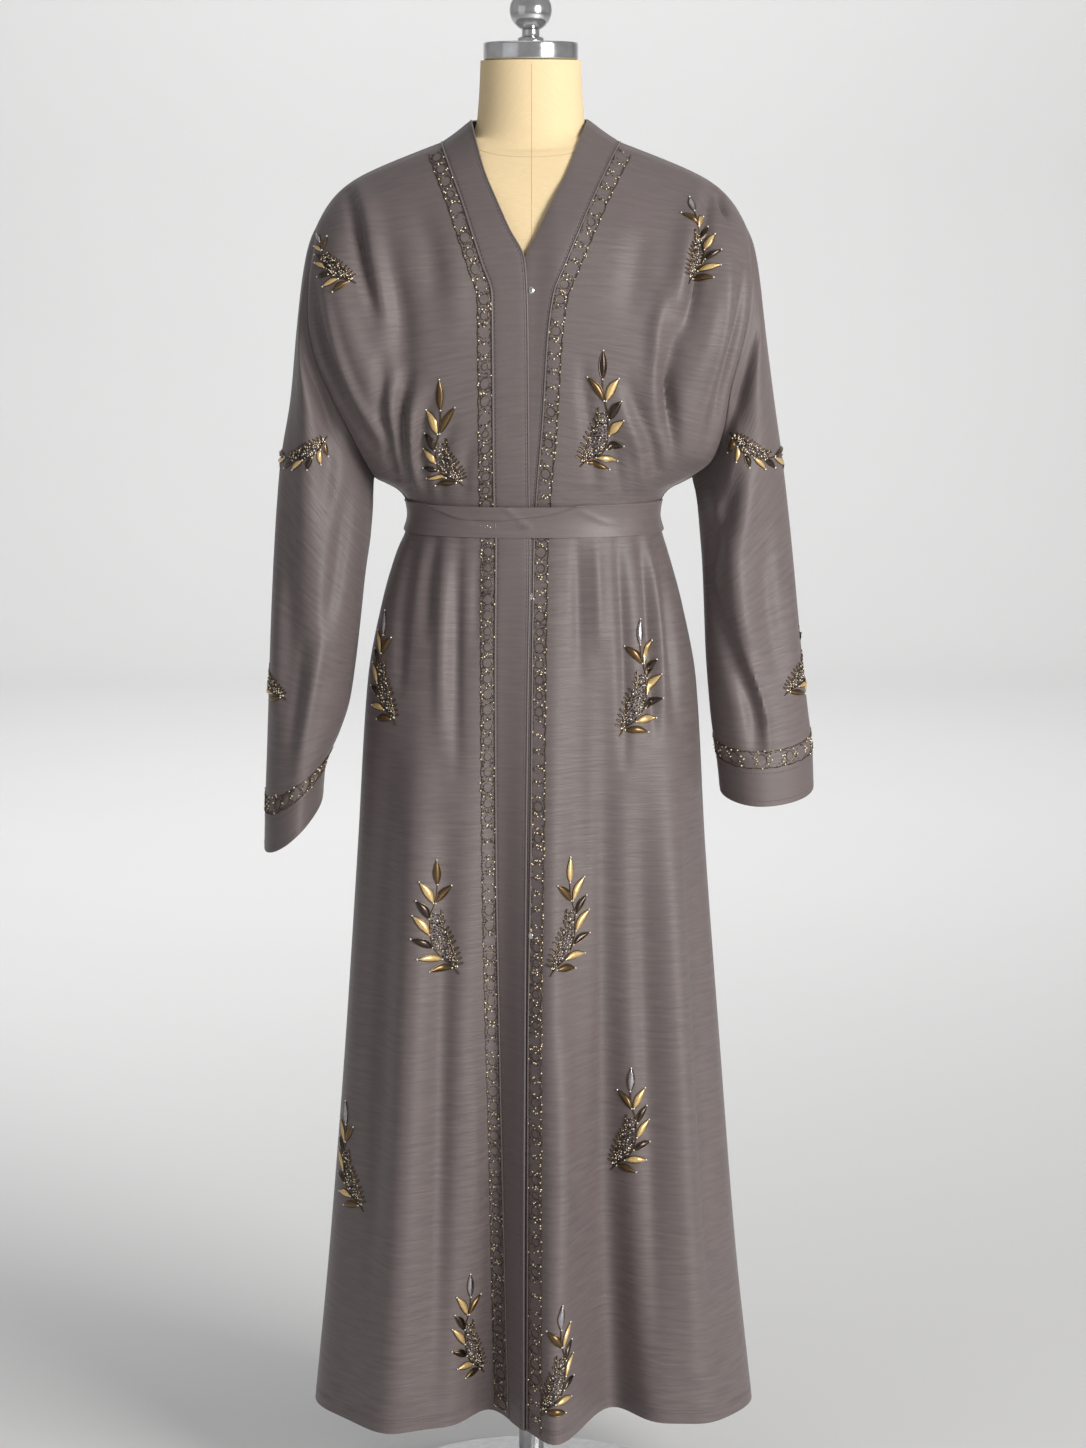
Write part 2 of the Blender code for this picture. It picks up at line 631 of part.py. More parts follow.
def form_rings():
    """Rings of the torso: the garment's rows drawn in, then the shoulders and the neck."""
    rings = []
    for height, half, gap_front, gap_back in FORM_ROWS:
        front = row("front", height) - gap_front
        back = row("back", height) - gap_back
        x, y = plan_ring(half, front, back, FORM_ROUND)
        reach = np.abs(x) / half_width(x, height)
        spread = (np.sqrt(reach ** 2 + 0.04) - 0.2) / (np.sqrt(1.04) - 0.2)
        z = height + (row("side", height) - height) * spread
        rings.append(np.stack([x, y, z], axis=-1))
    for half, front, back, height, clear, roundness in FORM_NECK:
        x, y = plan_ring(half, front, back, roundness)
        if height:
            z = np.full(FORM_TURNS, height)
        else:
            z = np.array([under_cloth(px, py) - clear for px, py in zip(x, y)])
        rings.append(np.stack([x, y, z], axis=-1))
    return np.array(rings)


def build_form():
    solid_of_rings("form_torso", form_rings(), linen())
    cap = [(CAP_RADIUS - 0.002, CAP_LOW), (CAP_RADIUS, CAP_LOW + 0.002),
           (CAP_RADIUS, CAP_HIGH - 0.002), (CAP_RADIUS - 0.002, CAP_HIGH)]
    turned("form_neck_cap", cap, 32, chrome())
    stem_top = np.arcsin(STEM_RADIUS / BALL_RADIUS)
    ball = [(STEM_RADIUS * 1.5, STEM_LOW), (STEM_RADIUS * 1.5, STEM_LOW + 0.004),
            (STEM_RADIUS, STEM_LOW + 0.006)]
    for angle in np.linspace(pi - stem_top, 0, 8):
        radius = BALL_RADIUS * np.sin(angle)
        ball.append((radius if angle else 0, BALL_MID + BALL_RADIUS * np.cos(angle)))
    turned("form_finial", ball, 20, chrome())
    low = FORM_ROWS[0][0] - SEAM
    turned("stand_pole", [(POLE_RADIUS, BASE_THICK + SEAM), (POLE_RADIUS, low)], 20, steel())
    base = [(BASE_RADIUS, 0.0), (BASE_RADIUS, BASE_THICK - BASE_EDGE),
            (BASE_RADIUS - BASE_EDGE, BASE_THICK)]
    turned("stand_base", base, 32, steel())


def share_normals(*lines):
    """Give the lines of points that meet at one seam the same normals, the mean of their own."""
    mean = unit(sum(facing[line] for facing, line in lines))
    for facing, line in lines:
        facing[line] = mean


def join_armhole(front_facing, back_facing, sleeve_facing, outer):
    """Share the normals of front, back and sleeve round the armhole.

    Low down the sleeve turns back on itself in a narrow valley, where each keeps its own.
    """
    rows = len(ROW_HEIGHTS)
    armhole = ROW_HEIGHTS.index(UNDERARM)
    around = sleeve_facing.shape[1]
    for r in range(armhole, rows):
        ahead = rows - 1 - r
        behind = (around - ahead) % around
        if r == armhole:
            share_normals((front_facing, (r, -1)), (back_facing, (r, outer)))
        elif ahead == behind:
            share_normals((front_facing, (r, -1)), (sleeve_facing, (0, ahead)),
                          (back_facing, (r, outer)))
        else:
            for facing, place, other in ((front_facing, (r, -1), ahead),
                                         (back_facing, (r, outer), behind)):
                if facing[place] @ sleeve_facing[0, other] > NARROW:
                    share_normals((facing, place), (sleeve_facing, (0, other)))


def neck_band(back, right_band, left_band):
    """The band behind the neck: from the back's neckline up to a free edge round the neck."""
    middle = back.shape[1] // 2
    low = back[-1, middle - NECK_COLUMNS:middle + NECK_COLUMNS + 1]
    right_end = right_band[-1, ::-1]
    left_end = left_band[-1, ::-1]
    angle = np.linspace(pi, 0, len(low))
    reach = (left_end[-1, 0] - right_end[-1, 0]) / 2
    x = (left_end[-1, 0] + right_end[-1, 0]) / 2 + reach * np.cos(angle)
    z = np.full(len(low), left_end[-1, 2])
    high = np.stack([x, NECK_BAND_DEEP * np.sin(angle), z], axis=-1)
    share = np.linspace(0, 1, len(left_end))[:, None, None]
    grid = low + (high - low) * share
    nearness = np.abs(np.cos(angle))[None, :, None] ** 4
    own = np.where(angle[None, :, None] > pi / 2, (right_end - grid[:, 0])[:, None],
                   (left_end - grid[:, -1])[:, None])
    grid = grid + own * nearness
    facing = unit(np.cross(np.gradient(grid, axis=0), np.gradient(grid, axis=1)))
    return grid, facing


def build_cloth():
    back, back_facing = back_grid()
    middle = back.shape[1] // 2
    sides = {}
    for side in (RIGHT, LEFT):
        sides[side] = (*front_grid(side), *band_grid(side))
    neck, neck_facing = neck_band(back, sides[RIGHT][2], sides[LEFT][2])
    whole = slice(None)
    for side, name in ((RIGHT, "right"), (LEFT, "left")):
        front, front_facing, band, band_facing = sides[side]
        outer = -1 if side == LEFT else 0
        beside = -2 if side == LEFT else 1
        loop = armhole_loop(side, front, back)
        sleeve = sleeve_grid(side, loop, SLEEVE_RINGS)
        sleeve_facing = ring_facing(side, sleeve)
        join_armhole(front_facing, back_facing, sleeve_facing, outer)
        # the shoulder seam, from the neck outwards, without its shared tip
        if side == LEFT:
            shoulder = slice(middle + NECK_COLUMNS, -1)
        else:
            shoulder = slice(middle - NECK_COLUMNS, 0, -1)
        share_normals((front_facing, (-1, slice(0, -1))), (back_facing, (-1, shoulder)))
        share_normals((band_facing, (-1, slice(None, None, -1))), (neck_facing, (whole, outer)))
        pull(front, (whole, 0), (whole, 1))
        pull(front, (whole, -1), (whole, -2), SEAM_WIDE)
        pull(front, (-1,), (-2,), SEAM_WIDE)
        pull(band, (whole, -1), (whole, -2))
        pull(band, (-1,), (-2,), SEAM_WIDE)
        pull(back, (whole, outer), (whole, beside), SEAM_WIDE)
        pull(neck, (whole, outer), (whole, beside), SEAM_WIDE)
        pull(sleeve, (0,), (1,), 2 * SEAM_WIDE, closed=True)
        pull(sleeve, (-1,), (-2,), closed=True)
        wall("front_" + name, front, front_facing, crepe())
        wall("front_band_" + name, band, band_facing, crepe())
        wall("sleeve_" + name, sleeve, sleeve_facing, crepe(), closed=True)
        cuff = sleeve_grid(side, loop, CUFF_RINGS)
        cuff_facing = ring_facing(side, cuff)
        pull(cuff, (0,), (1,), closed=True)
        wall("cuff_" + name, cuff, cuff_facing, crepe(), closed=True)
    neckline = slice(middle - NECK_COLUMNS, middle + NECK_COLUMNS + 1)
    share_normals((back_facing, (-1, neckline)), (neck_facing, (0,)))
    pull(neck, (0,), (1,), SEAM_WIDE)
    pull(back, (-1,), (-2,), SEAM_WIDE)
    wall("back_panel", back, back_facing, crepe())
    wall("back_neck_band", neck, neck_facing, crepe())


def build_belt():
    """A closed band round the waist, outside every layer of cloth."""
    heights = np.array([BELT_LOW, (BELT_LOW + BELT_HIGH) / 2, BELT_HIGH])[:, None]
    quarter = np.linspace(0, pi / 2, 10)
    parts = []
    for face, side, turn in ((FRONT, LEFT, quarter), (BACK, LEFT, quarter[::-1]),
                             (BACK, RIGHT, quarter), (FRONT, RIGHT, quarter[::-1])):
        turn = turn[None, :-1]
        points = body(face, side, turn, heights + 0 * turn)
        parts.append(points + body_facing(face, side, turn, heights + 0 * turn) * BELT_OUT)
    grid = np.concatenate(parts, axis=1)
    around = np.roll(grid, -1, axis=1) - np.roll(grid, 1, axis=1)
    facing = unit(np.cross(around, np.gradient(grid, axis=0)))
    wall("belt", grid, facing, crepe(), closed=True, thick=0.0016)


def build_snaps():
    """Small round studs, fastened between the two front bands."""
    for name, x, height in SNAPS:
        turn = turn_at(np.array(x), LEFT, height)
        facing = body_facing(FRONT, LEFT, turn, np.array(height))
        place = body(FRONT, LEFT, turn, np.array(height)) - facing * (TUCK - 1.5 * SEAM)
        ring = np.arange(12) * 2 * pi / 12
        across = unit(np.cross(np.array((0.0, 0.0, 1.0)), facing))
        up = np.cross(facing, across)
        disc = place + SNAP_RADIUS * (np.cos(ring)[:, None] * across + np.sin(ring)[:, None] * up)
        solid_of_rings(name, np.array([disc, disc + facing * SNAP_THICK]), chrome())


def smooth_line(points, count):
    """Evenly spread points on a smooth line through a few given ones."""
    points = np.asarray(points, float)
    places = np.concatenate([[0], np.cumsum(np.linalg.norm(np.diff(points, axis=0), axis=1))])
    at = np.linspace(0, places[-1], count)
    return np.stack([smooth(places, column, at) for column in points.T], axis=-1)


def spray_plan():
    """Corners, their heights and triangles of a spray in its own plane.

    The stem is a strip, each leaf a lobe that swells and bows along its length; where they lie
    over each other they are merged into one outline.
    """
    stem = smooth_line(SPRAY_STEM, 41)
    ahead = unit(np.gradient(stem, axis=0))
    beside = np.stack([ahead[:, 1], -ahead[:, 0]], axis=-1) * STEM_HALF
    strip = slice(None, None, 5)
    outlines = [np.concatenate([(stem + beside)[strip], (stem - beside)[strip][::-1]])]
    crests = []
    s = np.array((0.0, 0.30, 0.68, 1.0))
    for share, side, lean, length in SPRAY_LEAVES:
        angle = np.radians(lean)
        along = np.array((side * np.sin(angle), np.cos(angle)))
        across = np.array((along[1], -along[0])) * side
        root = stem[int(round(share * 40))]
        line = root + along * (s * (length + 0.0026))[:, None]
        line = line - across * (LEAF_BOW * np.sin(pi * s))[:, None]
        half = across * (LEAF_HALF * np.sin(pi * s ** 0.9) ** 0.8)[:, None]
        outlines.append(np.concatenate([(line - half)[:-1], line[-1:], (line + half)[-2:0:-1]]))
        crests.append(line[1:-1])
    corners = np.concatenate(outlines + crests)
    faces = []
    start = 0
    for outline in outlines:
        faces.append(list(range(start, start + len(outline))))
        start += len(outline)
    made = delaunay_2d_cdt([Vector(corner) for corner in corners], [], faces, 1, 1e-5)
    points = np.array([tuple(corner) for corner in made[0]])
    crest = np.concatenate(crests)
    nearest = np.min(np.linalg.norm(points[:, None] - crest[None], axis=-1), axis=1)
    return points, LEAF_CREST * (nearest < 1e-4), [tuple(face) for face in made[2]]


def along_rows(side, x, z, across, up):
    """Turn and height of points given from a start at (x, z) of the front view: up is added to its
    height, and across is measured along the row, towards the garment's middle."""
    start = z
    for _ in range(8):
        start += z - body(FRONT, side, turn_at(x, side, start), start)[..., 2]
    height = start + up
    turns = np.linspace(-0.4, pi / 2, 400)
    rows = body(FRONT, side, turns[None], height[:, None])
    steps = np.linalg.norm(np.diff(rows, axis=1), axis=-1)
    lengths = np.concatenate([np.zeros((len(height), 1)), np.cumsum(steps, axis=1)], axis=1)
    first = turn_at(x, side, height)
    return np.array([np.interp(np.interp(begin, turns, length) - reach, length, turns)
                     for begin, length, reach in zip(first, lengths, across)]), height


def facets_under(tree, near, outward):
    """Where the panel's facets lie behind the points, all looked for in one direction, so that the
    places never cross where a facet cuts off a fold. Of two rays, started near and far, the one
    that ends nearer counts, because a far start can lie beyond the next fold."""
    best = np.full(near.shape, 9.0)
    for reach in SPRAY_RAYS:
        hits = [tree.ray_cast(start, -outward)[0] for start in near + outward * reach]
        places = np.array([tuple(hit) if hit else (9.0, 9.0, 9.0) for hit in hits])
        nearer = np.linalg.norm(places - near, axis=1) < np.linalg.norm(best - near, axis=1)
        best[nearer] = places[nearer]
    return best


def build_sprays():
    """Each spray is laid on its panel's own facets and moved out along the surface's normals."""
    points, crest, triangles = spray_plan()
    count = len(points)
    edges = {}
    for a, b, c in triangles:
        for edge_pair in ((a, b), (b, c), (c, a)):
            edges[edge_pair] = edges.get(edge_pair, 0) + 1
    border = [(a, b) for a, b in edges if (b, a) not in edges]
    spans = np.linalg.norm(points[:, None] - points[None], axis=-1)
    for name, side, x, z, scale, lean in SPRAYS:
        panel = bpy.data.objects["front_left" if side == LEFT else "front_right"].data
        corners = [tuple(vertex.co) for vertex in panel.vertices]
        tree = BVHTree.FromPolygons(corners, [tuple(face.vertices) for face in panel.polygons])
        tilt = np.radians(lean)
        across = scale * (points[:, 0] * np.cos(tilt) - points[:, 1] * np.sin(tilt))
        up = scale * (points[:, 0] * np.sin(tilt) + points[:, 1] * np.cos(tilt))
        turn, height = along_rows(side, x, z, across, up)
        near = body(FRONT, side, turn, height)
        facing = body_facing(FRONT, side, turn, height)
        outward = unit(facing.mean(axis=0) * (SPRAY_ASIDE, 1.0, 1.0))
        facing = unit(outward + SPRAY_LEAN * facing)
        ground = facets_under(tree, near, outward)
        rise = np.zeros(count)
        for _ in range(40):
            low = ground + facing * SPRAY_LIFT + outward * rise[:, None]
            tried = BVHTree.FromPolygons((low - facing * SPRAY_CLEAR).tolist(), triangles)
            sunk = {corner for pair in tried.overlap(tree) for corner in triangles[pair[0]]}
            if not sunk:
                break
            rise[sorted(sunk)] += 0.0003
            rise = (rise - SPRAY_EASE * spans).max(axis=1)
        high = low + facing * (SPRAY_THICK + crest)[:, None]
        faces = [tuple(count + k for k in face) for face in triangles]
        faces += [face[::-1] for face in triangles]
        for a, b in border:
            faces += split_quad(a, b, count + b, count + a)
        add_object(name, np.concatenate([low, high]), faces, stone())


def main():
    for old in list(bpy.data.objects):
        bpy.data.objects.remove(old)
    build_form()
    build_cloth()
    build_belt()
    build_snaps()
    build_sprays()


main()
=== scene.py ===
"""Belted abaya cloak on a limbless dress form, with its stand.

Metres, +Z up, the garment's front towards -Y, the wearer's left at +X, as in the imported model.
Cloth is two surfaces of two parameters: the body, read row by row from ROWS, and the sleeve, read
ring by ring from SLEEVES. Everything sewn on is laid on those surfaces by its place in the front
view (x, z).
"""
from functools import lru_cache
from math import pi, radians

import bpy
import numpy as np
from bpy.props import FloatProperty, FloatVectorProperty, PointerProperty
from bpy.types import Operator, Panel, PropertyGroup
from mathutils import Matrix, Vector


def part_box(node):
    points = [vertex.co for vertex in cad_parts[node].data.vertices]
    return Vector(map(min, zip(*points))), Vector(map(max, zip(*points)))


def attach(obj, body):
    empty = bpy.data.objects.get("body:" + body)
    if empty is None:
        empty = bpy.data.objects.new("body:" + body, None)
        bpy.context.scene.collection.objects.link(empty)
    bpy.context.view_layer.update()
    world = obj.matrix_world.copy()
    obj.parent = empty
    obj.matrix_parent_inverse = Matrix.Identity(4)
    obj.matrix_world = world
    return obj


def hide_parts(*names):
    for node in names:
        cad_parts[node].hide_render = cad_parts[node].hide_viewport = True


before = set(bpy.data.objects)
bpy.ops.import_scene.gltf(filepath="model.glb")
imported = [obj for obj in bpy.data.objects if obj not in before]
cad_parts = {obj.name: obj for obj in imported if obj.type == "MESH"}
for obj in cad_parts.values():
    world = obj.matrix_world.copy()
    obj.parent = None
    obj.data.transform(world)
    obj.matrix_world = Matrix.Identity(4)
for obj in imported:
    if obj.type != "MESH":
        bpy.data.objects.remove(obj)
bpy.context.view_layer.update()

bl_info = {
    "name": "Abaya cloak on a dress form",
    "version": (1, 0, 0),
    "blender": (4, 5, 0),
    "location": "View3D > Sidebar > Abaya",
    "description": "Cloth, trims, leaf sprays and dress form of a belted abaya cloak",
    "category": "Object",
}

WALL = 0.0018             # cloth wall
ROUND = 2.3               # exponent of the superellipse that every row round the body follows
STEP = 1e-4               # small step for slopes
RIGHT = -1                # the wearer's right, at -X
LEFT = 1                  # the wearer's left, at +X
FRONT = -1
BACK = 1
SIDE_NAMES = {RIGHT: "right", LEFT: "left"}
SHARP = 0.9               # an edge that bends by more than this many radians is shaded sharp

HEM = 0.118
UNDERARM = 1.215          # the row that ends at the underarm
SHOULDER = 1.48           # above it the fine rows close up
TOP = 1.555               # the row along the shoulder seams
NECK_SHARE = 0.42         # share of the half width where the neck bands meet the shoulder seam
NECK_DIP = 0.035          # how far the back's neckline dips
COLLAR_RISE = 0.012       # how much the bands stand up round the neck
COLLAR_START = 1.490
NECK_BAND_DEEP = 0.0605
TUCK = 0.0036             # how far the left front lies behind the right one
TUCK_FULL = 0.002         # x where the tuck starts to fade, and where it has gone
TUCK_END = 0.030
TUCK_FADE = 1.43          # heights of the same
TUCK_TOP = 1.500
BELT_LOW = 1.107
BELT_HIGH = 1.141
BELT_OUT = 0.0030
BELT_WALL = 0.0016
HEM_DROP = 0.11           # how much lower a fold hangs than it stands out

# Rows round the body, as the solids have them.
ROWS = (
    # height side   right   left    front   back    fold    drop
    (0.118, 0.118, 0.2460, 0.2510, 0.1250, 0.1480, 0.0000, 0.00),
    (0.300, 0.300, 0.2280, 0.2310, 0.1220, 0.1400, 0.0000, 0.00),
    (0.530, 0.530, 0.2090, 0.2120, 0.1180, 0.1310, 0.0000, 0.00),
    (0.760, 0.760, 0.1930, 0.1940, 0.1140, 0.1240, 0.0000, 0.00),
    (0.940, 0.940, 0.1810, 0.1830, 0.1100, 0.1160, 0.0000, 0.00),
    (1.030, 1.030, 0.1640, 0.1660, 0.1060, 0.1080, 0.0000, 0.00),
    (1.084, 1.084, 0.1480, 0.1510, 0.1010, 0.1000, 0.0000, 0.00),
    (1.107, 1.107, 0.1380, 0.1440, 0.0975, 0.0940, 0.0000, 0.00),
    (1.124, 1.124, 0.1340, 0.1400, 0.0960, 0.0920, 0.0000, 0.00),
    (1.141, 1.141, 0.1365, 0.1425, 0.0985, 0.0940, 0.0000, 0.00),
    (1.158, 1.153, 0.1460, 0.1510, 0.1040, 0.0980, 0.0000, 0.00),
    (1.185, 1.160, 0.1590, 0.1640, 0.1110, 0.1030, 0.0000, 0.00),
    (1.215, 1.167, 0.1720, 0.1770, 0.1160, 0.1070, 0.0000, 0.00),
    (1.245, 1.187, 0.1820, 0.1985, 0.1200, 0.1100, 0.0300, 0.02),
    (1.275, 1.224, 0.1990, 0.2100, 0.1230, 0.1120, 0.0520, 0.04),
    (1.305, 1.264, 0.2180, 0.2155, 0.1245, 0.1140, 0.0640, 0.06),
    (1.335, 1.305, 0.2340, 0.2260, 0.1250, 0.1160, 0.0680, 0.08),
    (1.370, 1.345, 0.2400, 0.2345, 0.1230, 0.1170, 0.0660, 0.10),
    (1.405, 1.382, 0.2390, 0.2385, 0.1170, 0.1160, 0.0580, 0.13),
    (1.440, 1.410, 0.2355, 0.2375, 0.1070, 0.1120, 0.0460, 0.16),
    (1.475, 1.430, 0.2330, 0.2350, 0.0890, 0.1010, 0.0330, 0.20),
    (1.508, 1.441, 0.2315, 0.2330, 0.0670, 0.0800, 0.0200, 0.24),
    (1.532, 1.445, 0.2305, 0.2315, 0.0450, 0.0560, 0.0100, 0.26),
    (1.547, 1.446, 0.2300, 0.2310, 0.0240, 0.0310, 0.0040, 0.28),
    (1.555, 1.447, 0.2300, 0.2310, 0.0000, 0.0000, 0.0000, 0.28),
)
ROW_NAMES = ("height", "side", "right", "left", "front", "back", "fold", "drop")

FRONT_FOLDS = (
    # at    width  out
    (-0.66, 0.16, 0.028),
    (-0.19, 0.12, -0.052),
    (0.11, 0.13, 0.042),
    (0.36, 0.14, -0.056),
    (0.80, 0.12, 0.012),
)
BACK_FOLDS = (
    (-0.72, 0.13, 0.022),
    (-0.46, 0.12, -0.040),
    (-0.16, 0.14, 0.026),
    (0.14, 0.12, -0.046),
    (0.44, 0.14, 0.030),
    (0.70, 0.12, -0.026),
)

BAND_EDGES = (
    # height  right free  right seam  left free  left seam
    (0.118, -0.0080, -0.0245, -0.0235, -0.0068),
    (0.300, -0.0078, -0.0290, -0.0300, -0.0060),
    (0.550, -0.0065, -0.0345, -0.0370, -0.0050),
    (0.770, -0.0050, -0.0380, -0.0385, -0.0012),
    (0.950, -0.0030, -0.0385, -0.0365, 0.0010),
    (1.100, -0.0010, -0.0375, -0.0345, 0.0035),
    (1.155, -0.0020, -0.0395, -0.0315, 0.0066),
    (1.235, -0.0025, -0.0400, -0.0250, 0.0130),
    (1.325, -0.0030, -0.0405, -0.0195, 0.0185),
    (1.370, -0.0040, -0.0410, -0.0140, 0.0245),
    (1.405, -0.0065, -0.0520, -0.0070, 0.0380),
    (1.440, -0.0235, -0.0630, 0.0095, 0.0520),
    (1.475, -0.0385, -0.0735, 0.0265, 0.0660),
    (1.508, -0.0515, -0.0840, 0.0420, 0.0790),
    (1.532, -0.0590, -0.0910, 0.0525, 0.0880),
    (1.547, -0.0630, -0.0950, 0.0585, 0.0940),
    (1.555, -0.0650, -0.0966, 0.0615, 0.0970),
)
EDGE_NAMES = ("height", "right_free", "right_seam", "left_free", "left_seam")

SLEEVES = {
    LEFT: (
        # along outer x  outer z  inner x  inner z  deep    mid
        (0.00, 0.2310, 1.4470, 0.1770, 1.1670, 0.050, 0.000),
        (0.05, 0.2405, 1.4250, 0.1785, 1.1600, 0.054, 0.000),
        (0.11, 0.2475, 1.3870, 0.1810, 1.1500, 0.057, 0.000),
        (0.19, 0.2550, 1.3320, 0.1835, 1.1330, 0.060, -0.002),
        (0.29, 0.2650, 1.2620, 0.1860, 1.1050, 0.062, -0.004),
        (0.40, 0.2770, 1.1800, 0.1890, 1.0680, 0.062, -0.006),
        (0.51, 0.2870, 1.0950, 0.1910, 1.0220, 0.060, -0.008),
        (0.62, 0.2950, 1.0150, 0.1930, 0.9740, 0.057, -0.010),
        (0.73, 0.3010, 0.9550, 0.1960, 0.9330, 0.054, -0.012),
        (0.84, 0.3065, 0.9100, 0.1995, 0.8970, 0.051, -0.014),
        (1.00, 0.3120, 0.8650, 0.2050, 0.8600, 0.048, -0.016),
        (1.15, 0.3135, 0.8245, 0.2095, 0.8205, 0.046, -0.017),
    ),
    RIGHT: (
        (0.00, 0.2300, 1.4470, 0.1720, 1.1670, 0.050, 0.000),
        (0.05, 0.2400, 1.4250, 0.1730, 1.1600, 0.054, 0.000),
        (0.11, 0.2480, 1.3870, 0.1735, 1.1500, 0.057, 0.000),
        (0.19, 0.2550, 1.3320, 0.1740, 1.1330, 0.060, -0.002),
        (0.29, 0.2630, 1.2560, 0.1765, 1.1020, 0.062, -0.004),
        (0.40, 0.2755, 1.1800, 0.1825, 1.0600, 0.062, -0.006),
        (0.51, 0.2825, 1.0950, 0.1880, 1.0100, 0.061, -0.008),
        (0.62, 0.2870, 1.0100, 0.1940, 0.9600, 0.059, -0.010),
        (0.73, 0.2900, 0.9350, 0.2010, 0.9170, 0.058, -0.012),
        (0.84, 0.2925, 0.8700, 0.2110, 0.8870, 0.056, -0.014),
        (1.00, 0.2955, 0.7970, 0.2270, 0.8500, 0.054, -0.016),
        (1.15, 0.2965, 0.7570, 0.2310, 0.8110, 0.053, -0.017),
    ),
}
SLEEVE_NAMES = ("along", "outer_x", "outer_z", "inner_x", "inner_z", "deep", "mid")
ARMHOLE_FADE = 0.45       # along the sleeve, where the armhole's own shape has gone
RECESS = 0.007            # depth, place and width of the hollow beside the armhole
RECESS_AT = 0.07
RECESS_WIDE = 0.05
ELBOW_RIDGE = 0.007
CUFF_EDGE = 1.15          # along the sleeve, where the cuff ends
CUFF_DIP = 0.014          # how much lower a sleeve's front hangs than its back at the cuff

FORM_ROWS = (
    # height  half    gap_front gap_back
    (0.800, 0.1480, 0.0280, 0.0280),
    (0.830, 0.1590, 0.0220, 0.0210),
    (0.880, 0.1630, 0.0180, 0.0160),
    (0.940, 0.1620, 0.0150, 0.0130),
    (1.030, 0.1470, 0.0120, 0.0100),
    (1.084, 0.1330, 0.0105, 0.0085),
    (1.124, 0.1230, 0.0100, 0.0080),
    (1.158, 0.1260, 0.0105, 0.0085),
    (1.215, 0.1370, 0.0105, 0.0090),
    (1.275, 0.1490, 0.0105, 0.0090),
    (1.335, 0.1570, 0.0100, 0.0090),
    (1.405, 0.1640, 0.0095, 0.0085),
    (1.450, 0.1700, 0.0090, 0.0080),
)
FORM_NECK = (
    # half   front   back    height clear  round
    (0.1740, 0.0780, 0.0860, 0.0, 0.0075, 2.2),
    (0.1600, 0.0680, 0.0740, 0.0, 0.0060, 2.2),
    (0.1320, 0.0620, 0.0650, 0.0, 0.0052, 2.1),
    (0.1050, 0.0580, 0.0610, 0.0, 0.0052, 2.0),
    (0.0820, 0.0548, 0.0580, 0.0, 0.0054, 2.0),
    (0.0662, 0.0528, 0.0550, 1.536, 0.0, 2.0),
    (0.0595, 0.0535, 0.0545, 1.548, 0.0, 2.0),
    (0.0572, 0.0535, 0.0545, 1.566, 0.0, 2.0),
    (0.0555, 0.0530, 0.0540, 1.592, 0.0, 2.0),
    (0.0545, 0.0525, 0.0535, 1.617, 0.0, 2.0),
)
FORM_ROUND = 2.2
FORM_TURNS = 96

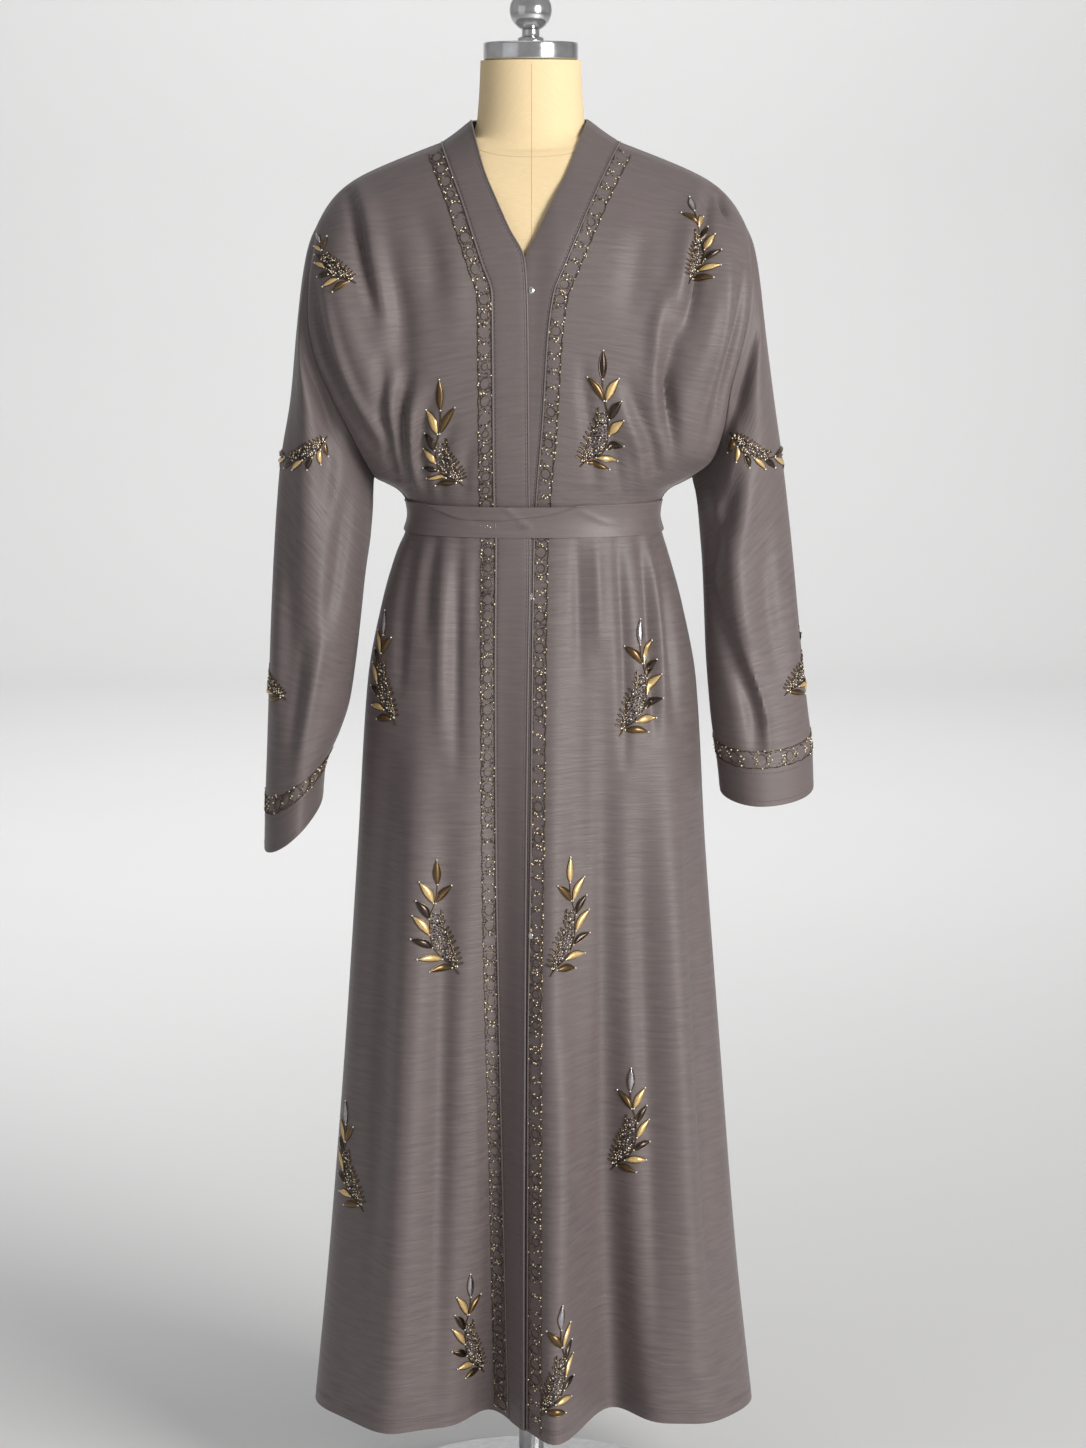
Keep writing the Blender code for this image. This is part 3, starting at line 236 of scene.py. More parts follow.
# Creases: points (x, z) in the front view, width, and how far out (less than nothing: a trough).
FRONT_CREASES = (
    # from the shoulder tip down, the wearer's right
    (((-0.198, 1.478), (-0.188, 1.450), (-0.180, 1.405), (-0.166, 1.346)), 0.007, -0.0075),
    (((-0.186, 1.475), (-0.172, 1.442), (-0.163, 1.403), (-0.146, 1.320)), 0.013, 0.0065),
    (((-0.166, 1.440), (-0.152, 1.390), (-0.140, 1.335), (-0.136, 1.262)), 0.016, -0.0078),
    (((-0.205, 1.440), (-0.206, 1.390), (-0.190, 1.320), (-0.160, 1.245)), 0.014, 0.0050),
    # up from the waist, the wearer's right
    (((-0.158, 1.300), (-0.160, 1.256), (-0.154, 1.215), (-0.146, 1.170)), 0.0070, -0.0058),
    (((-0.146, 1.285), (-0.150, 1.245), (-0.145, 1.205), (-0.138, 1.165)), 0.0066, 0.0036),
    (((-0.130, 1.285), (-0.138, 1.247), (-0.138, 1.213), (-0.132, 1.160)), 0.0066, -0.0062),
    (((-0.118, 1.270), (-0.127, 1.240), (-0.127, 1.200), (-0.121, 1.160)), 0.0070, 0.0044),
    (((-0.103, 1.262), (-0.116, 1.226), (-0.118, 1.182), (-0.113, 1.152)), 0.0066, -0.0050),
    (((-0.082, 1.235), (-0.094, 1.200), (-0.098, 1.170), (-0.096, 1.148)), 0.0065, -0.0028),
    (((-0.062, 1.215), (-0.070, 1.185), (-0.072, 1.150)), 0.0070, -0.0020),
    # the recess beside the sleeve seam and the fold's edge, the wearer's right
    (((-0.236, 1.380), (-0.231, 1.340), (-0.219, 1.300), (-0.196, 1.250), (-0.172, 1.208)), 0.0075, -0.0064),
    (((-0.222, 1.390), (-0.212, 1.335), (-0.193, 1.272), (-0.174, 1.236), (-0.148, 1.196)), 0.0066, 0.0046),
    # soft pulls across the chest, the wearer's right
    (((-0.120, 1.455), (-0.104, 1.410), (-0.100, 1.360)), 0.013, -0.0028),
    (((-0.095, 1.440), (-0.080, 1.385), (-0.078, 1.320)), 0.016, 0.0022),
    # from the shoulder tip down, the wearer's left
    (((0.199, 1.484), (0.190, 1.463), (0.184, 1.430), (0.176, 1.385), (0.166, 1.330)), 0.0075, -0.0078),
    (((0.182, 1.476), (0.172, 1.440), (0.164, 1.395), (0.152, 1.345)), 0.014, 0.0055),
    (((0.203, 1.478), (0.208, 1.462), (0.211, 1.448)), 0.0035, -0.0055),
    (((0.210, 1.440), (0.206, 1.390), (0.194, 1.330), (0.172, 1.262)), 0.015, 0.0060),
    (((0.160, 1.345), (0.150, 1.300), (0.146, 1.262), (0.142, 1.205)), 0.0100, -0.0062),
    (((0.143, 1.370), (0.134, 1.326), (0.134, 1.290), (0.141, 1.240)), 0.0080, 0.0040),
    # the recess beside the sleeve seam, the wearer's left
    (((0.230, 1.400), (0.226, 1.350), (0.214, 1.296), (0.200, 1.240), (0.188, 1.200)), 0.0075, -0.0056),
    (((0.212, 1.400), (0.209, 1.345), (0.197, 1.290), (0.183, 1.236)), 0.0066, 0.0040),
    # up from the waist, the wearer's left
    (((0.103, 1.275), (0.114, 1.246), (0.129, 1.210), (0.137, 1.168)), 0.0066, -0.0046),
    (((0.122, 1.285), (0.132, 1.252), (0.141, 1.218), (0.146, 1.185)), 0.0066, 0.0022),
    (((0.138, 1.300), (0.147, 1.262), (0.153, 1.225), (0.155, 1.190)), 0.0066, -0.0060),
    (((0.092, 1.262), (0.102, 1.236), (0.116, 1.200), (0.122, 1.155)), 0.0070, 0.0034),
    (((0.056, 1.296), (0.058, 1.268), (0.063, 1.230), (0.070, 1.160)), 0.0065, -0.0036),
    (((0.076, 1.250), (0.084, 1.222), (0.092, 1.190), (0.098, 1.150)), 0.0066, -0.0034),
    (((0.118, 1.440), (0.112, 1.390), (0.104, 1.345)), 0.016, -0.0024),
    # skirt, gathered under the belt
    (((-0.126, 1.104), (-0.133, 1.070), (-0.140, 1.010), (-0.143, 0.940)), 0.0066, -0.0042),
    (((-0.104, 1.104), (-0.110, 1.060), (-0.114, 1.000)), 0.0066, -0.0038),
    (((-0.090, 1.104), (-0.094, 1.050), (-0.097, 0.960), (-0.098, 0.880)), 0.0080, 0.0034),
    (((-0.078, 1.104), (-0.080, 1.050), (-0.081, 0.960), (-0.080, 0.850)), 0.0070, -0.0036),
    (((-0.056, 1.104), (-0.058, 1.050), (-0.059, 0.990)), 0.0066, -0.0020),
    (((0.136, 1.104), (0.144, 1.070), (0.152, 1.000), (0.158, 0.900)), 0.0066, -0.0050),
    (((0.118, 1.104), (0.124, 1.070), (0.130, 1.000), (0.134, 0.890)), 0.0066, -0.0054),
    (((0.126, 1.100), (0.133, 1.060), (0.140, 0.990), (0.145, 0.900)), 0.0065, 0.0040),
    (((0.094, 1.104), (0.098, 1.050), (0.102, 0.970), (0.103, 0.860)), 0.0065, -0.0042),
    (((0.070, 1.104), (0.072, 1.060), (0.074, 0.990)), 0.0070, 0.0026),
    (((0.050, 1.104), (0.052, 1.050), (0.053, 0.960)), 0.0065, -0.0024),
    # skirt, long soft folds
    (((-0.158, 0.860), (-0.166, 0.700), (-0.176, 0.480), (-0.188, 0.240)), 0.015, -0.0060),
    (((-0.118, 0.900), (-0.126, 0.700), (-0.138, 0.420), (-0.150, 0.160)), 0.018, 0.0062),
    (((-0.092, 0.780), (-0.096, 0.600), (-0.100, 0.380), (-0.104, 0.150)), 0.013, -0.0062),
    (((0.118, 0.820), (0.124, 0.640), (0.132, 0.420), (0.140, 0.170)), 0.014, -0.0055),
    (((0.148, 0.880), (0.158, 0.660), (0.170, 0.430), (0.184, 0.180)), 0.018, 0.0060),
    (((0.172, 0.800), (0.184, 0.600), (0.198, 0.350), (0.210, 0.200)), 0.012, -0.0050),
    (((0.066, 0.960), (0.064, 0.780), (0.062, 0.600), (0.058, 0.330)), 0.013, 0.0046),
    (((0.036, 0.560), (0.034, 0.400), (0.032, 0.240)), 0.0090, 0.0040),
    (((-0.060, 0.520), (-0.062, 0.380), (-0.062, 0.230)), 0.0100, 0.0036),
)
BACK_CREASES = (
    (((-0.196, 1.478), (-0.184, 1.440), (-0.172, 1.385), (-0.158, 1.320)), 0.010, -0.0060),
    (((0.196, 1.480), (0.186, 1.435), (0.170, 1.380), (0.164, 1.310)), 0.010, -0.0056),
    (((-0.170, 1.400), (-0.150, 1.330), (-0.140, 1.262), (-0.134, 1.180)), 0.014, 0.0052),
    (((0.172, 1.410), (0.156, 1.340), (0.142, 1.256), (0.136, 1.190)), 0.014, 0.0050),
    (((-0.148, 1.290), (-0.146, 1.245), (-0.140, 1.200), (-0.134, 1.155)), 0.0060, -0.0058),
    (((0.150, 1.285), (0.148, 1.240), (0.143, 1.200), (0.136, 1.158)), 0.0060, -0.0056),
    (((-0.112, 1.275), (-0.118, 1.230), (-0.114, 1.150)), 0.0070, -0.0046),
    (((0.106, 1.262), (0.116, 1.215), (0.112, 1.150)), 0.0070, -0.0044),
    (((-0.064, 1.300), (-0.070, 1.240), (-0.068, 1.150)), 0.0090, -0.0032),
    (((0.030, 1.320), (0.034, 1.240), (0.032, 1.150)), 0.0095, -0.0034),
    (((0.072, 1.290), (0.078, 1.220), (0.076, 1.150)), 0.0080, 0.0030),
    (((-0.024, 1.280), (-0.026, 1.215), (-0.022, 1.148)), 0.0085, 0.0028),
    (((-0.098, 1.440), (-0.050, 1.410), (0.020, 1.404), (0.092, 1.432)), 0.014, -0.0024),
    (((-0.118, 1.104), (-0.124, 1.040), (-0.128, 0.940)), 0.0065, -0.0046),
    (((-0.080, 1.104), (-0.084, 1.030), (-0.086, 0.880)), 0.0070, -0.0044),
    (((-0.042, 1.104), (-0.044, 1.050), (-0.046, 0.930)), 0.0065, -0.0036),
    (((-0.006, 1.104), (-0.008, 1.030), (-0.010, 0.860)), 0.0075, -0.0042),
    (((0.040, 1.104), (0.042, 1.040), (0.044, 0.960)), 0.0065, -0.0036),
    (((0.078, 1.104), (0.084, 1.020), (0.086, 0.880)), 0.0070, -0.0044),
    (((0.120, 1.104), (0.126, 1.050), (0.132, 0.950)), 0.0065, -0.0048),
    (((0.100, 1.100), (0.106, 1.020), (0.110, 0.900)), 0.0080, 0.0040),
    (((-0.100, 1.100), (-0.104, 1.030), (-0.106, 0.920)), 0.0080, 0.0038),
    (((-0.130, 0.860), (-0.140, 0.600), (-0.152, 0.260)), 0.016, -0.0050),
    (((0.020, 0.900), (0.022, 0.640), (0.026, 0.300)), 0.016, 0.0050),
    (((0.136, 0.840), (0.148, 0.560), (0.164, 0.220)), 0.015, -0.0050),
    (((-0.056, 0.780), (-0.058, 0.500), (-0.060, 0.200)), 0.014, 0.0048),
)
SLEEVE_CREASES = {
    LEFT: (
        # in front
        (((0.222, 1.171), (0.214, 1.141), (0.200, 1.088), (0.196, 1.060), (0.206, 1.020), (0.222, 0.975)),
         0.0085, -0.0075),
        (((0.240, 1.190), (0.232, 1.130), (0.222, 1.080), (0.226, 1.030), (0.240, 0.975)), 0.013, 0.0060),
        (((0.210, 1.000), (0.229, 0.952), (0.243, 0.908), (0.247, 0.862)), 0.0110, -0.0082),
        (((0.228, 0.990), (0.245, 0.948), (0.257, 0.905), (0.260, 0.862)), 0.0050, 0.0030),
        (((0.262, 1.120), (0.256, 1.060), (0.262, 1.000), (0.276, 0.940)), 0.012, -0.0040),
        (((0.214, 1.330), (0.224, 1.270), (0.226, 1.215)), 0.012, -0.0044),
        (((0.240, 1.330), (0.250, 1.250), (0.262, 1.160)), 0.014, 0.0034),
        (((0.286, 1.060), (0.290, 0.990), (0.294, 0.930)), 0.0080, 0.0026),
        (((0.196, 1.160), (0.206, 1.120), (0.214, 1.090)), 0.0070, 0.0034),
    ),
    RIGHT: (
        (((-0.214, 1.330), (-0.220, 1.270), (-0.218, 1.200), (-0.222, 1.130)), 0.011, -0.0050),
        (((-0.238, 1.340), (-0.244, 1.260), (-0.246, 1.160), (-0.240, 1.060)), 0.014, 0.0046),
        (((-0.196, 1.170), (-0.206, 1.110), (-0.214, 1.050), (-0.226, 0.980)), 0.0090, -0.0050),
        (((-0.262, 1.160), (-0.266, 1.080), (-0.262, 1.000), (-0.264, 0.920)), 0.011, -0.0044),
        (((-0.220, 1.020), (-0.236, 0.950), (-0.250, 0.880), (-0.258, 0.830)), 0.0085, 0.0042),
        (((-0.248, 1.000), (-0.252, 0.940), (-0.262, 0.870)), 0.0070, -0.0038),
        (((-0.276, 1.060), (-0.280, 0.980), (-0.280, 0.890)), 0.0080, 0.0028),
    ),
}
SLEEVE_BACK_CREASES = {
    LEFT: (
        (((0.210, 1.300), (0.216, 1.220), (0.222, 1.130), (0.216, 1.050)), 0.012, -0.0052),
        (((0.236, 1.280), (0.246, 1.180), (0.250, 1.070)), 0.014, 0.0044),
        (((0.200, 1.090), (0.222, 1.040), (0.246, 1.000)), 0.0085, -0.0060),
        (((0.204, 1.040), (0.228, 0.990), (0.256, 0.960)), 0.0085, -0.0048),
        (((0.270, 1.080), (0.276, 0.990), (0.284, 0.910)), 0.011, -0.0040),
        (((0.230, 0.980), (0.240, 0.930), (0.246, 0.880)), 0.0090, 0.0036),
    ),
    RIGHT: (
        (((-0.206, 1.290), (-0.212, 1.210), (-0.216, 1.120), (-0.214, 1.040)), 0.012, -0.0050),
        (((-0.234, 1.270), (-0.242, 1.170), (-0.244, 1.060)), 0.014, 0.0042),
        (((-0.196, 1.080), (-0.220, 1.030), (-0.242, 1.000)), 0.0085, -0.0056),
        (((-0.206, 1.010), (-0.228, 0.960), (-0.250, 0.930)), 0.0085, -0.0046),
        (((-0.264, 1.040), (-0.268, 0.950), (-0.272, 0.870)), 0.011, -0.0038),
    ),
}

# Creases of the belt, by x and height up its row, and the edge of its upper layer in front.
BELT_LAYER = ((-0.112, 1.1400), (-0.100, 1.1350), (-0.070, 1.1262), (-0.029, 1.1254), (-0.014, 1.1280),
              (0.016, 1.1312), (0.043, 1.1390), (0.050, 1.1412))
BELT_STEP = 0.0019        # how far the upper layer stands out there
BELT_CREASES = (
    (((-0.026, 1.1390), (-0.014, 1.1285), (-0.004, 1.1170)), 0.0028, 0.0014),
    (((-0.060, 1.1240), (-0.040, 1.1200), (-0.010, 1.1180)), 0.0030, -0.0010),
    (((-0.121, 1.1410), (-0.119, 1.1290)), 0.0080, -0.0008),
    (((0.099, 1.1370), (0.101, 1.1240)), 0.0100, -0.0008),
    (((0.055, 1.1350), (0.085, 1.1220), (0.120, 1.1180)), 0.0034, 0.0007),
)

# Leaf sprays. The stem in the spray's own plane, u towards the garment's middle and v up, and its
# stones: share of the stem, side (1 is the middle's), lean from upright in degrees, length, stone.
SPRAY_STEM = ((0.0, 0.0), (-0.008, 0.009), (-0.020, 0.018), (-0.029, 0.031), (-0.032, 0.047),
              (-0.032, 0.063), (-0.028, 0.076), (-0.025, 0.088), (-0.024, 0.100))
SPRAY_LEAVES = (
    (0.07, -1, 96, 0.024, "bronze"),
    (0.20, -1, 84, 0.024, "gold"),
    (0.36, -1, 63, 0.021, "dark"),
    (0.49, -1, 36, 0.025, "gold"),
    (0.63, -1, 31, 0.022, "dark"),
    (0.80, -1, 29, 0.026, "gold"),
    (0.80, 1, 43, 0.025, "bronze"),
    (0.97, -1, 1, 0.026, "silver"),
)
SPRAY_FAN = ((-0.002, 0.010), (-0.008, 0.029), (-0.015, 0.045), (-0.020, 0.058), (-0.0205, 0.071))
TOP_STONES = {"sewn_spray_right_chest": "bronze", "sewn_spray_right_knee": "bronze",
              "sewn_spray_left_chest": "dark", "sewn_spray_left_knee": "gold"}
LEAF_HALF = 0.0037        # half width of a leaf stone
LEAF_BOW = 0.0015         # how far its middle line bends
LEAF_HIGH = 0.0024        # height of its crest
# Where the sprays are sewn: piece, carrier, side, the tail's (x, z), scale, turn in degrees. A piece
# named sewn_ and then a node's name stands for that node.
SPRAYS = (
    ("sewn_spray_right_chest", "front", RIGHT, -0.073, 1.163, 1.00, 0),
    ("sewn_spray_right_hip", "front", RIGHT, -0.147, 0.900, 0.96, 0),
    ("sewn_spray_right_knee", "front", RIGHT, -0.078, 0.630, 1.00, 0),
    ("sewn_spray_right_low", "front", RIGHT, -0.190, 0.353, 0.94, 4),
    ("sewn_spray_right_hem", "front", RIGHT, -0.053, 0.169, 0.98, 0),
    ("sewn_spray_left_chest", "front", LEFT, 0.053, 1.185, 1.00, 0),
    ("sewn_spray_left_hip", "front", LEFT, 0.096, 0.891, 1.00, 0),
    ("sewn_spray_left_knee", "front", LEFT, 0.021, 0.632, 1.00, 0),
    ("sewn_spray_left_low", "front", LEFT, 0.089, 0.403, 0.96, 0),
    ("sewn_spray_left_hem", "front", LEFT, 0.011, 0.144, 0.98, 0),
    ("small_spray_right_shoulder", "front", RIGHT, -0.186, 1.380, 0.74, 24),
    ("small_spray_left_shoulder", "front", LEFT, 0.168, 1.380, 0.84, -10),
    ("small_spray_right_elbow", "sleeve", RIGHT, -0.220, 1.214, 0.64, 98),
    ("small_spray_left_elbow", "sleeve", LEFT, 0.216, 1.218, 0.66, 100),
    ("small_spray_right_wrist", "sleeve", RIGHT, -0.268, 0.926, 0.60, 20),
    ("small_spray_left_wrist", "sleeve", LEFT, 0.278, 0.930, 0.70, 10),
)

SPRAY_SEED = 7
LEAF_ROOT = 0.0026        # from the stem to a stone's near end
RIM_OUT = 0.0004          # from a stone's outline to its setting's thread
RIM_THREAD = 0.00050      # radii of a spray's threads, pearls and sown beads
STEM_THREAD = 0.0007
PETAL_THREAD = 0.00036
DASH_THREAD = 0.00042
PEARL = 0.0011
SOWN_BEAD = 0.00075
PETALS = 11
DASH_ROWS = 26            # short stitches between the stem and the fan
DASH_COLUMNS = 11
DASH_HALF = 0.0008

# Strips of couched cord and beads.
TRIM_WIDE = 0.0165        # depth of a strip
TRIM_REPEAT = 0.0170      # from one oval to the next
TRIM_MARGIN = 0.0010      # from a strip's long sides to the cords that edge it
TRIM_WAVE = 0.0006        # how far those cords wave
OVAL_WIDE = 0.0047        # half axes of an oval, across and along the strip
OVAL_LONG = 0.0051
OPEN_WIDE = 0.0056        # half axes of the place left open for it
OPEN_LONG = 0.0060
SOWN_EACH = 54            # seeds drawn in each repeat
TRIM_LIFT = 0.0004        # a cord's middle above the cloth
CUFF_TRIM = 1.25          # how much deeper the strips above the cuffs are
CUFF_ROUND = 0.36         # length of the strip round a cuff

# Piping, stitches and snaps.
PIPING = 0.0010           # radius
PIPE_COUNT = 420          # points along a band's piping
STITCH_LIFT = 0.0007
HEM_STITCHES = (0.012, 0.015)     # heights above the hem
CUFF_STITCHES = (1.012, 1.128)    # places along the sleeve
SNAP_RADIUS = 0.0038
SNAP_HIGH = 0.0012
NECK_SEAM = 1.5136        # the form's neck seam in front and behind
NECK_SEAM_RISE = 0.0270   # how much higher it lies at the sides

# The floor's sweep and the camera.
FLOOR_FRONT = -9.0
FLOOR_BACK = 7.0          # where the floor starts to curve up
SWEEP = 1.5               # radius of that curve
BACKDROP_TOP = 9.0
HALF_FLOOR = 12.0
FLOOR_DROP = 0.0005
EYE = (0.0133, -4.2, 1.5)
EYE_TILT = 81.74          # degrees from straight down
LENS = 94.92


def sizes():
    return bpy.context.scene.abaya_sizes


def colours():
    return bpy.context.scene.abaya_colours


def smooth(xs, ys, x):
    """Monotone cubic through the points (xs, ys), read at x."""
    xs = np.asarray(xs, float)
    ys = np.asarray(ys, float)
    gaps = np.diff(xs)
    rises = np.diff(ys) / gaps
    slopes = np.zeros_like(ys)
    product = rises[:-1] * rises[1:]
    total = np.where(product > 0, rises[:-1] + rises[1:], 1.0)
    slopes[1:-1] = np.where(product > 0, 2 * product / total, 0.0)
    slopes[0] = rises[0]
    slopes[-1] = rises[-1]
    x = np.clip(x, xs[0], xs[-1])
    i = np.clip(np.searchsorted(xs, x, side="right") - 1, 0, len(gaps) - 1)
    t = (x - xs[i]) / gaps[i]
    start = (1 + 2 * t) * (1 - t) ** 2 * ys[i] + t * (1 - t) ** 2 * gaps[i] * slopes[i]
    end = t * t * (3 - 2 * t) * ys[i + 1] + t * t * (t - 1) * gaps[i] * slopes[i + 1]
    return start + end


def read(table, names, name, x):
    """The named column of a table, read by its first column at x."""
    columns = list(zip(*table))
    return smooth(columns[0], columns[names.index(name)], x)


def row(name, height):
    """The named column of ROWS at this height."""
    return read(ROWS, ROW_NAMES, name, height)


def edge(name, height):
    """x of the named edge of a front band at this height."""
    return read(BAND_EDGES, EDGE_NAMES, name, height)


def power(value, exponent):
    """Power that keeps the sign."""
    return np.sign(value) * np.abs(value) ** exponent


def ramp(x, start, end):
    """0 up to start, 1 from end on, 3t^2 - 2t^3 in between."""
    t = np.clip((x - start) / (end - start), 0, 1)
    return t * t * (3 - 2 * t)


def unit(vectors):
    """Each vector divided by its length."""
    return vectors / np.linalg.norm(vectors, axis=-1, keepdims=True)


def placed(x, y, z):
    """Points from arrays of x, y and z, spread to one shape."""
    return np.stack(np.broadcast_arrays(x, y, z), axis=-1)


def rounded_v(reach):
    """A rounded V, 0 to 1: (sqrt(reach^2 + 0.2^2) - 0.2) / (sqrt(1 + 0.2^2) - 0.2)."""
    return (np.sqrt(reach ** 2 + 0.04) - 0.2) / (np.sqrt(1.04) - 0.2)


def run_lengths(grid, axis):
    """Length run along each row (axis 1) or column (axis 0): the steps' lengths summed."""
    first = np.take(grid, [0], axis=axis)
    return np.cumsum(np.linalg.norm(np.diff(grid, axis=axis, prepend=first), axis=-1), axis=axis)


def skirt_folds(face, share, height):
    """Sum of bells out * exp(-((share - at) / width)^2), growing from the belt to the hem."""
    grown = np.clip((BELT_LOW - height) / (BELT_LOW - HEM), 0, 1) ** 1.3
    out = 0.0
    for at, width, reach in FRONT_FOLDS if face == FRONT else BACK_FOLDS:
        out = out + reach * np.exp(-((share - at) / width) ** 2)
    return out * grown


def body(face, side, turn, height):
    """Point on the row at this height, turn radians from the middle towards the side.

    A superellipse of exponent ROUND in plan, with the skirt's folds added in depth; the row falls
    from its middle height to its side height along a rounded V, and a fold that stands out hangs
    lower.
    """
    half = row(SIDE_NAMES[side], height)
    deep = row("front" if face == FRONT else "back", height)
    fold = row("fold", height)
    share = power(np.sin(turn), 2 / ROUND)
    ahead = power(np.cos(turn), 2 / ROUND)
    reach = np.abs(share)
    drop = row("drop", height)
    fall = (1 - drop) * rounded_v(reach) + drop * reach ** 12
    out = skirt_folds(face, side * share, height)
    x = side * half * share
    y = face * (fold + (deep - fold) * ahead + out)
    z = height + (row("side", height) - height) * fall - HEM_DROP * out
    if face == FRONT:
        seam = edge(SIDE_NAMES[side] + "_seam", height)
        free = edge(SIDE_NAMES[side] + "_free", height)
        inside = np.clip((np.abs(seam) - side * x) / np.abs(seam - free), 0, 1)
        z = z + COLLAR_RISE * inside ** 1.5 * ramp(height, COLLAR_START, TOP)
    return placed(x, y, z)


def body_facing(face, side, turn, height):
    """Outward normal of the body surface, the cross product of its two slopes."""
    low = np.minimum(height, TOP - STEP)
    across = body(face, side, turn + STEP, low) - body(face, side, turn - STEP, low)
    up = body(face, side, turn, low + STEP) - body(face, side, turn, low - STEP)
    return unit(-face * side * np.cross(across, up))


def turn_at(x, side, height):
    """The turn at which the row at this height reaches x, which may lie past the middle."""
    half = row(SIDE_NAMES[side], height)
    return np.arcsin(np.clip(power(side * x / half, ROUND / 2), -1, 1))


def line_through(points, steps=13):
    """A smooth line of evenly spread points through a few given ones."""
    points = np.asarray(points, float)
    places = run_lengths(points, 0)
    at = np.linspace(0, places[-1], steps)
    return np.stack([smooth(places, column, at) for column in points.T], axis=-1)


@lru_cache(maxsize=None)
def crease_line(points):
    """A crease's line in short straight lengths: starts, directions, lengths, places along it."""
    line = line_through(points)
    steps = np.diff(line, axis=0)
    lengths = np.linalg.norm(steps, axis=1)
    return line[:-1], steps / lengths[:, None], lengths, np.concatenate([[0], np.cumsum(lengths)])


def near_line(x, z, points):
    """Distance from each (x, z) to a line, and the share of the line's length at the nearest place."""
    starts, ahead, lengths, places = crease_line(points)
    dx = x[..., None] - starts[:, 0]
    dz = z[..., None] - starts[:, 1]
    t = np.clip(dx * ahead[:, 0] + dz * ahead[:, 1], 0, lengths)
    gaps = np.hypot(dx - t * ahead[:, 0], dz - t * ahead[:, 1])
    nearest = np.argmin(gaps, axis=-1)[..., None]
    gap = np.take_along_axis(gaps, nearest, axis=-1)[..., 0]
    place = np.take_along_axis(places[:-1] + t, nearest, axis=-1)[..., 0]
    return gap, place / places[-1]


def dented(points, facing, creases, keep):
    """Move points along their normals by out * exp(-(gap / width)^2) * sin(pi share)^0.6 for every
    crease, where gap is the distance to its line in the front view."""
    move = np.zeros(points.shape[:-1])
    for line, width, out in creases:
        gap, share = near_line(points[..., 0], points[..., 2], line)
        move = move + out * np.exp(-(gap / width) ** 2) * np.sin(pi * np.clip(share, 0.03, 0.97)) ** 0.6
    return points + facing * (move * keep * sizes().crease_depth)[..., None]


def keep_seams(turn, height):
    """1 on the panel, falling to 0 at the side seam, the armhole and the shoulder seam."""
    share = np.abs(np.sin(turn)) ** (2 / ROUND)
    return (1 - ramp(share, 0.955, 1.0)) * (1 - ramp(height, TOP - 0.020, TOP))


def front_skin(side, turn, height):
    """A front with its creases; the left one sinks behind the right one near the middle."""
    points = body(FRONT, side, turn, height)
    facing = body_facing(FRONT, side, turn, height)
    if side == LEFT:
        depth = TUCK * (1 - ramp(points[..., 0], TUCK_FULL, TUCK_END))
        depth = depth * (1 - ramp(height, TUCK_FADE, TUCK_TOP))
        points = points - facing * depth[..., None]
    return dented(points, facing, FRONT_CREASES, keep_seams(turn, height))


def front_by_x(side):
    """A front's skin as a function of the place across, x, and the row's height."""
    return lambda x, height: front_skin(side, turn_at(x, side, height), height)


def normals_of(skin, a, b):
    """Points of a skin and their normals towards the front, from its two slopes."""
    here = skin(a, b)
    facing = unit(np.cross(skin(a + 4 * STEP, b) - here, skin(a, b + 4 * STEP) - here))
    return here, facing * np.where(facing[..., 1:2] > 0, -1, 1)


def run_along(values, knots, goal):
    """Where each row of rising values reaches its goal: the knots read by straight interpolation."""
    low = np.clip(np.sum(values < goal[:, None], axis=1) - 1, 0, len(knots) - 2)[:, None]
    a = np.take_along_axis(values, low, axis=1)[:, 0]
    b = np.take_along_axis(values, low + 1, axis=1)[:, 0]
    return knots[low[:, 0]] + (goal - a) / (b - a) * (knots[1] - knots[0])


def front_at(side, x, z, across, up):
    """Points and normals of a front from a start at (x, z) of the front view.

    up is added to the start's height, which is found by adding (z - z there) until it stays, and
    across is the length run along the row towards the garment's middle, read off the summed
    lengths of the row's short steps.
    """
    start = float(z)
    for _ in range(8):
        start = start + z - float(body(FRONT, side, turn_at(x, side, start), start)[..., 2])
    height = np.minimum(start + up, TOP - 0.001)
    turns = np.linspace(-0.4, pi / 2, 240)
    lengths = run_lengths(body(FRONT, side, turns, height[:, None]), 1)
    first = (turn_at(x, side, height) + 0.4) / (turns[1] - turns[0])
    low = first.astype(int)[:, None]
    begin = np.take_along_axis(lengths, low, axis=1)[:, 0]
    begin = begin + (np.take_along_axis(lengths, low + 1, axis=1)[:, 0] - begin) * (first - low[:, 0])
    turn = run_along(lengths, turns, begin - across)
    return normals_of(lambda a, b: front_skin(side, a, b), turn, height)


